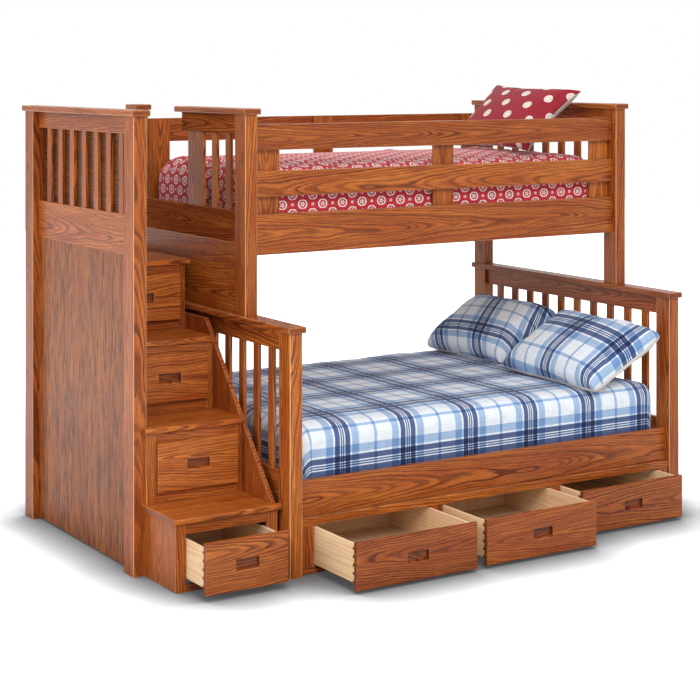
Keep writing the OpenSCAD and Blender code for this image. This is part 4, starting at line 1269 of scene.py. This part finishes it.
@dataclass
class Mattress(Cover):
    """A mattress in a fitted cover: a sheet wrapped over a crowned top, round edges and drawn-in sides.

    The cover is a function of two lengths on the cloth, U and V. Inside the flat top they are X and Y.
    Past it, the distance s goes round the upper edge on a circle, straight down the side, round the
    lower edge and in under the mattress. At a corner s is the larger of the two overhangs.
    """

    centre: tuple[float, float] = (0.0, 0.0)  # the pattern's place in the middle
    edge: float = 0.068  # radius of the upper edge
    low_edge: float = 0.022
    crown: float = 0.005  # how far the top sinks towards its edge, over crown_reach
    crown_reach: float = 0.130
    draw: float = 0.005  # how far the sides draw in at their middle
    cell: float = 0.020
    under: float = 0.06  # how far the cover goes in under the mattress
    creased: float = 0.18  # how far from the edge creases start, at most
    closing: float = 0.97  # the closed underside, as a share of the cover's opening
    held_below: float = 0.0005  # height under which the cover is held while it settles

    def wrap(self, u: np.ndarray, v: np.ndarray, half: np.ndarray,
             thick: float) -> tuple[np.ndarray, np.ndarray]:
        """Puts points of the cloth on the mattress.

        Args:
            u: The cloth's first length at each grid point, from the middle.
            v: Its second length.
            half: Half the mattress's length and width.
            thick: Its thickness.

        Returns:
            The points from the middle of the underside, and the pattern's place for each.
        """
        inner = half - self.edge
        cx, cy = np.clip(u, -inner[0], inner[0]), np.clip(v, -inner[1], inner[1])
        ex, ey = u - cx, v - cy
        far = np.maximum(np.hypot(ex, ey), 1e-9)
        nx, ny = ex / far, ey / far
        s = np.maximum(np.abs(ex), np.abs(ey))
        r, low = self.edge, self.low_edge
        s0 = r * math.pi / 2
        s1 = s0 + thick - r - low
        s2 = s1 + low * math.pi / 2
        bend = np.minimum(s, s0) / r
        turn = np.clip((s - s1) / low, 0, math.pi / 2)
        out = np.where(s < s0, r * np.sin(bend), r) - low * (1 - np.cos(turn)) - np.maximum(s - s2, 0)
        z = thick - r * (1 - np.cos(bend)) - np.clip(s - s0, 0, s1 - s0) - low * np.sin(turn)
        inside = np.minimum(inner[0] - np.abs(cx), inner[1] - np.abs(cy))
        sunk = self.crown * (1 - np.clip(inside / self.crown_reach, 0, 1)) ** 2
        z -= sunk * np.clip((z - low) / thick, 0, 1)
        crease = self.creases.heights(u, v, (half[0], half[1]), self.creased)
        crease = crease * (1 - np.clip((s - s1) / low, 0, 1))
        z += crease * np.cos(bend)
        out += crease * np.sin(bend)
        x, y = cx + nx * out, cy + ny * out
        x = x - np.sign(x) * self.draw * (1 - (y / half[1]) ** 2) * np.minimum(s / s0, 1)
        y = y - np.sign(y) * self.draw * (1 - (x / half[0]) ** 2) * np.minimum(s / s0, 1)
        pattern = np.stack([cx + nx * s, cy + ny * s, np.zeros_like(s)], -1)
        return np.stack([x, y, z], -1), pattern

    def build(self) -> None:
        """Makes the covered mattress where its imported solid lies."""
        low, high = (np.array(corner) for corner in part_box(self.node))
        half = (high - low)[:2] / 2
        thick = float(high[2] - low[2])
        reach = (self.edge + self.low_edge) * (math.pi / 2 - 1) + thick + self.under
        limit = half - self.edge + reach
        counts = np.round(2 * limit / self.cell).astype(int) + 1
        u, v = np.meshgrid(*[np.linspace(-limit[k], limit[k], counts[k]) for k in (0, 1)], indexing="ij")
        top, pattern = self.wrap(u, v, half, thick)
        edge = self.closing * (half - self.low_edge - self.under)
        under = np.stack([u / limit[0] * edge[0], v / limit[1] * edge[1], np.zeros_like(u)], -1)
        points, faces = two_sided(top, under)
        places = np.concatenate([pattern.reshape(-1, 3), pattern[1:-1, 1:-1].reshape(-1, 3)])
        middle = np.array([(low[0] + high[0]) / 2, (low[1] + high[1]) / 2, low[2]])
        self.finish(self.node + "_cover", points + middle, faces, places + np.array([*self.centre, 0.0]),
                    held=points[:, 2] < self.held_below)


@dataclass(frozen=True)
class PillowShape:
    """A filled pillow, drawn on a square from -1 to 1 both ways.

    Its sides draw in between pointed corners by a share of its half size times one less the other
    parameter squared, and it swells above and below its seam by a power of the product of one less each
    parameter squared. Each corner may be lifted by its own height times the cube of its nearness, and
    all are drawn in by a share, the blunt, times the fourth power of the product of both parameters.
    """

    width: float = 0.450
    length: float = 0.600
    crown: float = 0.095
    under: float = 0.040
    draw: float = 0.09
    power: float = 0.42
    seam: float = 0.0
    corners: tuple[float, float, float, float] = (0.0, 0.0, 0.0, 0.0)
    blunt: float = 0.0

    def points(self, u: np.ndarray, v: np.ndarray, up: bool) -> np.ndarray:
        """Gives the pillow's points for its parameters.

        Args:
            u: The parameter across the pillow.
            v: The parameter along it.
            up: Whether it is the upper side.

        Returns:
            The points, before the pillow is turned.
        """
        swell = self.crown - self.seam if up else -self.under - self.seam
        full = np.maximum((1 - u * u) * (1 - v * v), 0) ** self.power
        lift = sum(height * (((1 + a * u) / 2) * ((1 + b * v) / 2)) ** 3 for height, (a, b) in
                   zip(self.corners, ((-1, -1), (-1, 1), (1, -1), (1, 1))))
        x = self.width / 2 * u * (1 - self.draw * (1 - v * v))
        y = self.length / 2 * v * (1 - self.draw * (1 - u * u))
        near = 1 - self.blunt * (u * v) ** 4
        return np.stack([x * near, y * near, self.seam + swell * full + lift], -1)


@dataclass
class Pillow(Cover):
    """A pillow in its case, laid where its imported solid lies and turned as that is.

    Its case starts a little slack and is blown up to its shape. The pattern's two rows turn the lengths on
    the cloth into the print's, each with its own shift.
    """

    turn: tuple[float, float, float] = (0.0, 0.0, 0.0)
    shape: PillowShape = PillowShape()
    pattern: tuple[tuple[float, float, float], tuple[float, float, float]] = ((1, 0, 0), (0, 1, 0))
    moved: tuple[float, float, float] = (0.0, 0.0, 0.0)
    packed: PillowShape = PillowShape()
    columns: int = 57
    rows: int = 73
    pressure: float = 4.0
    cap: float = 0.014
    slack: float = 0.03
    fill: float = 0.7
    creased: float = 0.07  # how far from the seam creases start, at most
    rim: float = 6.0  # how fast creases grow from nothing at the seam
    under_share: float = 0.5  # how high the underside's creases are beside the upper side's

    def turned(self, points: np.ndarray) -> np.ndarray:
        """Turns points about X, then Y, then Z by the pillow's angles."""
        turns = [Matrix.Rotation(math.radians(angle), 3, axis) for angle, axis in zip(self.turn, "XYZ")]
        return points @ np.array(turns[2] @ turns[1] @ turns[0]).T

    def cloth_lengths(self, grid: np.ndarray) -> np.ndarray:
        """Measures the cloth from the pillow's middle lines out to each grid point.

        Args:
            grid: The upper side's points.

        Returns:
            Two lengths for each point.
        """
        lengths = []
        for axis in (0, 1):
            steps = np.linalg.norm(np.diff(grid, axis=axis), axis=-1)
            nought = np.zeros_like(np.take(grid[..., 0], [0], axis=axis))
            along = np.concatenate([nought, np.cumsum(steps, axis)], axis=axis)
            lengths.append(along - np.take(along, [grid.shape[axis] // 2], axis=axis))
        return np.stack(lengths, -1)

    def build(self) -> None:
        """Makes the pillow."""
        low, high = (np.array(corner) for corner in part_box(self.node))
        u, v = np.meshgrid(*[np.sin(np.linspace(-math.pi / 2, math.pi / 2, count))
                             for count in (self.columns, self.rows)], indexing="ij")
        sides = [self.packed.points(u, v, up).reshape(-1, 3) for up in (True, False)]
        solid = self.turned(np.concatenate(sides))
        shift = (low + high) / 2 - (solid.min(0) + solid.max(0)) / 2 + np.array(self.moved)
        top, under = self.shape.points(u, v, True), self.shape.points(u, v, False)
        half = (self.shape.width / 2, self.shape.length / 2)
        crease = self.creases.heights(top[..., 0], top[..., 1], half, self.creased)
        crease = crease * np.clip((1 - u * u) * (1 - v * v) * self.rim, 0, 1)
        top[..., 2] += crease
        under[..., 2] -= crease * self.under_share
        points, faces = two_sided(top, under)
        weave = np.array(self.pattern, float)
        flat = self.cloth_lengths(self.packed.points(u, v, True)) @ weave[:, :2].T + weave[:, 2]
        side = np.repeat([0.0, 1.0], [u.size, u[1:-1, 1:-1].size])
        places = np.concatenate([flat.reshape(-1, 2), flat[1:-1, 1:-1].reshape(-1, 2)])
        self.finish(self.node + "_case", self.turned(points) + shift, faces, np.column_stack([places, side]),
                    held=np.zeros(len(points), bool))


@dataclass
class LowerBedding:
    """The plaid mattress of the lower bed and its two pillows, which lean on the headboard."""

    cloth: Material
    slot: str = "plaid_cotton"

    def build(self) -> None:
        """Makes the mattress, the rear pillow and the front pillow."""
        Mattress("full_mattress", self.slot, self.cloth,
                 Creases(21, 60, width=(0.018, 0.035), length=(0.06, 0.20), height=(0.001, 0.0035)),
                 centre=(-0.0635, 0.0263)).build()
        Pillow("full_pillow_rear", self.slot, self.cloth,
               Creases(31, 34, width=(0.008, 0.014), length=(0.03, 0.10), height=(0.0015, 0.0045)),
               turn=(1.0, -29.0, 4.0),
               shape=PillowShape(width=0.464, length=0.606, crown=0.106, draw=0.050, power=0.28, seam=0.012,
                                 corners=(0.0, 0.0, -0.012, 0.0), blunt=0.07),
               pattern=((1.1, 0.0535, 0.2765), (-0.473, 1.1, 0.1947))).build()
        Pillow("full_pillow_front", self.slot, self.cloth,
               Creases(32, 34, width=(0.008, 0.014), length=(0.03, 0.10), height=(0.0015, 0.0045)),
               turn=(2.6, -26.0, 3.0),
               shape=PillowShape(width=0.482, length=0.640, crown=0.119, draw=0.035, power=0.27, seam=0.018,
                                 corners=(0.0, 0.0, 0.0, 0.004), blunt=0.030),
               pattern=((0.86, -0.0768, 0.1201), (0.0, 1.256, 0.1448)), moved=(0.0, -0.014, 0.002)).build()


@dataclass
class UpperBedding:
    """The red printed mattress of the upper bed and its dotted pillow, which leans on the end rails."""

    print_cloth: Material
    dotted_cloth: Material

    def build(self) -> None:
        """Makes the mattress and the pillow."""
        Mattress("twin_mattress", "red_print_cotton", self.print_cloth,
                 Creases(22, 170, width=(0.012, 0.028), length=(0.04, 0.12), height=(0.003, 0.009)),
                 edge=0.105, crown=0.020, crown_reach=0.38).build()
        Pillow("twin_pillow", "dotted_cotton", self.dotted_cloth,
               Creases(33, 26, width=(0.008, 0.014), length=(0.03, 0.09), height=(0.001, 0.0035)),
               turn=(1.0, -41.0, 2.5),
               shape=PillowShape(width=0.455, length=0.606, crown=0.092, under=0.044, draw=0.12, seam=0.012,
                                 corners=(0.0, 0.0, -0.012, 0.012))).build()


@dataclass
class Studio:
    """A plain pale floor, a white surround, soft lamps, and the camera at the photograph's angle."""

    place: tuple[float, float, float] = (-4.1771, -6.4421, 1.9933)
    heading: float = -32.23
    lens: float = 88.86
    sensor: float = 36.0
    sight: float = 60.0  # metres that the camera sees
    shift_y: float = -0.3993
    floor_half: float = 14.0
    floor_rows: int = 9
    floor_drop: float = 0.0005  # metres under the feet, so that no two faces share a plane
    floor_white: str = "#dee3e6"
    near_glow: float = 0.46  # the floor's glow out to near metres, and far_glow past away metres
    far_glow: float = 1.2
    near: float = 2.2
    away: float = 4.2
    ambient: float = 0.80  # how strong the white surround is as a light
    contact: float = 0.26  # metres over which painted shadow darkens the floor round what stands on it
    contact_power: float = 3.2
    contact_least: float = 0.12

    def camera(self) -> None:
        """Adds the camera, level and turned to its heading."""
        data = bpy.data.cameras.new("camera")
        data.lens = self.lens
        data.sensor_width = self.sensor
        data.shift_y = self.shift_y
        data.clip_end = self.sight
        obj = bpy.data.objects.new("camera", data)
        obj.location = self.place
        obj.rotation_euler = (math.radians(90), 0.0, math.radians(self.heading))
        bpy.context.scene.collection.objects.link(obj)
        bpy.context.scene.camera = obj

    def seen(self, t: NodeTree) -> NodeSocket:
        """Adds the nodes that tell what the camera sees, straight or by gloss or through glass.

        Args:
            t: The tree of the floor or of the world.

        Returns:
            The output that is 1 for such a ray.
        """
        rays = add(t, "LightPath")
        seen = rays.outputs["Is Camera Ray"]
        for name in ("Is Glossy Ray", "Is Transmission Ray"):
            seen = add(t, "Math", {0: seen, 1: rays.outputs[name]}, operation="MAXIMUM").outputs[0]
        return seen

    def floor(self) -> None:
        """Adds the floor: matt, with painted shadow beside and under what stands on it, and a glow that
        lights nothing.

        The glow grows outwards until the floor meets the surround.
        """
        line = np.linspace(-self.floor_half, self.floor_half, self.floor_rows)
        x, y = np.meshgrid(line, line, indexing="ij")
        grid = np.stack([x, y, np.full_like(x, -self.floor_drop)], -1)
        obj = new_piece("studio_floor", grid.reshape(-1, 3), grid_faces(np.arange(x.size).reshape(x.shape)))
        material, t, shader = new_material("matt_white_floor")
        # painted shadow: ambient occlusion darkens the floor's colour and glow near what stands on it
        openness = add(t, "AmbientOcclusion", {"Distance": self.contact}, samples=12).outputs["AO"]
        power = add(t, "Math", {0: openness, 1: self.contact_power}, operation="POWER")
        painted_shadow = add(t, "MapRange", {0: power, 3: self.contact_least, 4: 1.0})
        paint = add(t, "Mix", {0: painted_shadow, 6: BLACK, 7: linear(self.floor_white)}, data_type="RGBA")
        far = add(t, "VectorMath", {0: add(t, "TexCoord").outputs["Object"]}, operation="LENGTH")
        grown = add(t, "MapRange", {0: far, 1: self.near, 2: self.away, 3: self.near_glow,
                                    4: self.far_glow}, interpolation_type="SMOOTHSTEP")
        kept = add(t, "Math", {0: painted_shadow, 1: grown}, operation="MULTIPLY")
        glow = add(t, "Math", {0: self.seen(t), 1: kept}, operation="MULTIPLY")
        feed(t, shader, {"Base Color": paint, "Roughness": 1.0, "Specular IOR Level": 0.0,
                         "Emission Color": WHITE, "Emission Strength": glow})
        obj.data.materials.append(material)

    def surround(self) -> None:
        """Sets the world: white to the camera, to gloss and through glass, and softer as a light."""
        world = bpy.data.worlds.new("surround")
        world.use_nodes = True
        bpy.context.scene.world = world
        t = world.node_tree
        t.nodes.clear()
        strength = add(t, "MapRange", {0: self.seen(t), 3: self.ambient, 4: 1.0})
        add(t, "OutputWorld", {"Surface": add(t, "Background", {"Color": WHITE, "Strength": strength})})

    def lamp(self, name: str, at: tuple[float, float, float], aim: tuple[float, float, float], size: float,
             power: float) -> None:
        """Adds one soft square lamp.

        Args:
            name: The lamp's name.
            at: Where it hangs.
            aim: The point that it faces.
            size: The length of its side, in metres.
            power: Its power in watts.
        """
        data = bpy.data.lights.new(name, "AREA")
        data.shape = "SQUARE"
        data.size = size
        data.energy = power
        obj = bpy.data.objects.new(name, data)
        direction = Vector(aim) - Vector(at)
        obj.matrix_world = Matrix.Translation(at) @ direction.to_track_quat("-Z", "Y").to_matrix().to_4x4()
        bpy.context.scene.collection.objects.link(obj)

    def build(self) -> None:
        """Sets up the camera, the floor, the surround, the lamps and the view."""
        self.camera()
        self.floor()
        self.surround()
        self.lamp("key", (-2.2, -6.0, 5.4), aim=(0.0, 0.0, 0.8), size=2.8, power=302.0)
        self.lamp("left", (-5.8, -0.4, 2.8), aim=(-0.8, 0.0, 1.0), size=3.0, power=104.0)
        bpy.context.scene.view_settings.view_transform = "Standard"
        log.info("studio ready")


def main() -> None:
    """Builds the bunk bed's looks sub-assembly by sub-assembly, and then the studio."""
    logging.basicConfig(level=logging.INFO, format="%(name)s: %(message)s")
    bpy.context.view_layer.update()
    stock = {wood: wood.value.finish.make() for wood in Wood}
    # As for the drawers, seeds whose boards come out about as dark or pale as in the photograph.
    seeds = {StairEnd: 2335, StairUnit: 14250, LowerBunk: 1505, UpperBunk: 4204, DrawerUnit: 15}
    parts = [kind(stock, seed) for kind, seed in seeds.items()]
    parts += [Drawer(stock, seed, name=name) for name, seed in DRAWER_SEEDS.items()]
    parts += [Fittings(SteelFinish().make()), LowerBedding(PlaidCotton().make()),
              UpperBedding(BlossomCotton().make(), DottedCotton().make()), Studio()]
    for part in parts:
        log.info("%s", type(part).__name__)
        part.build()


if __name__ == "__main__":
    main()
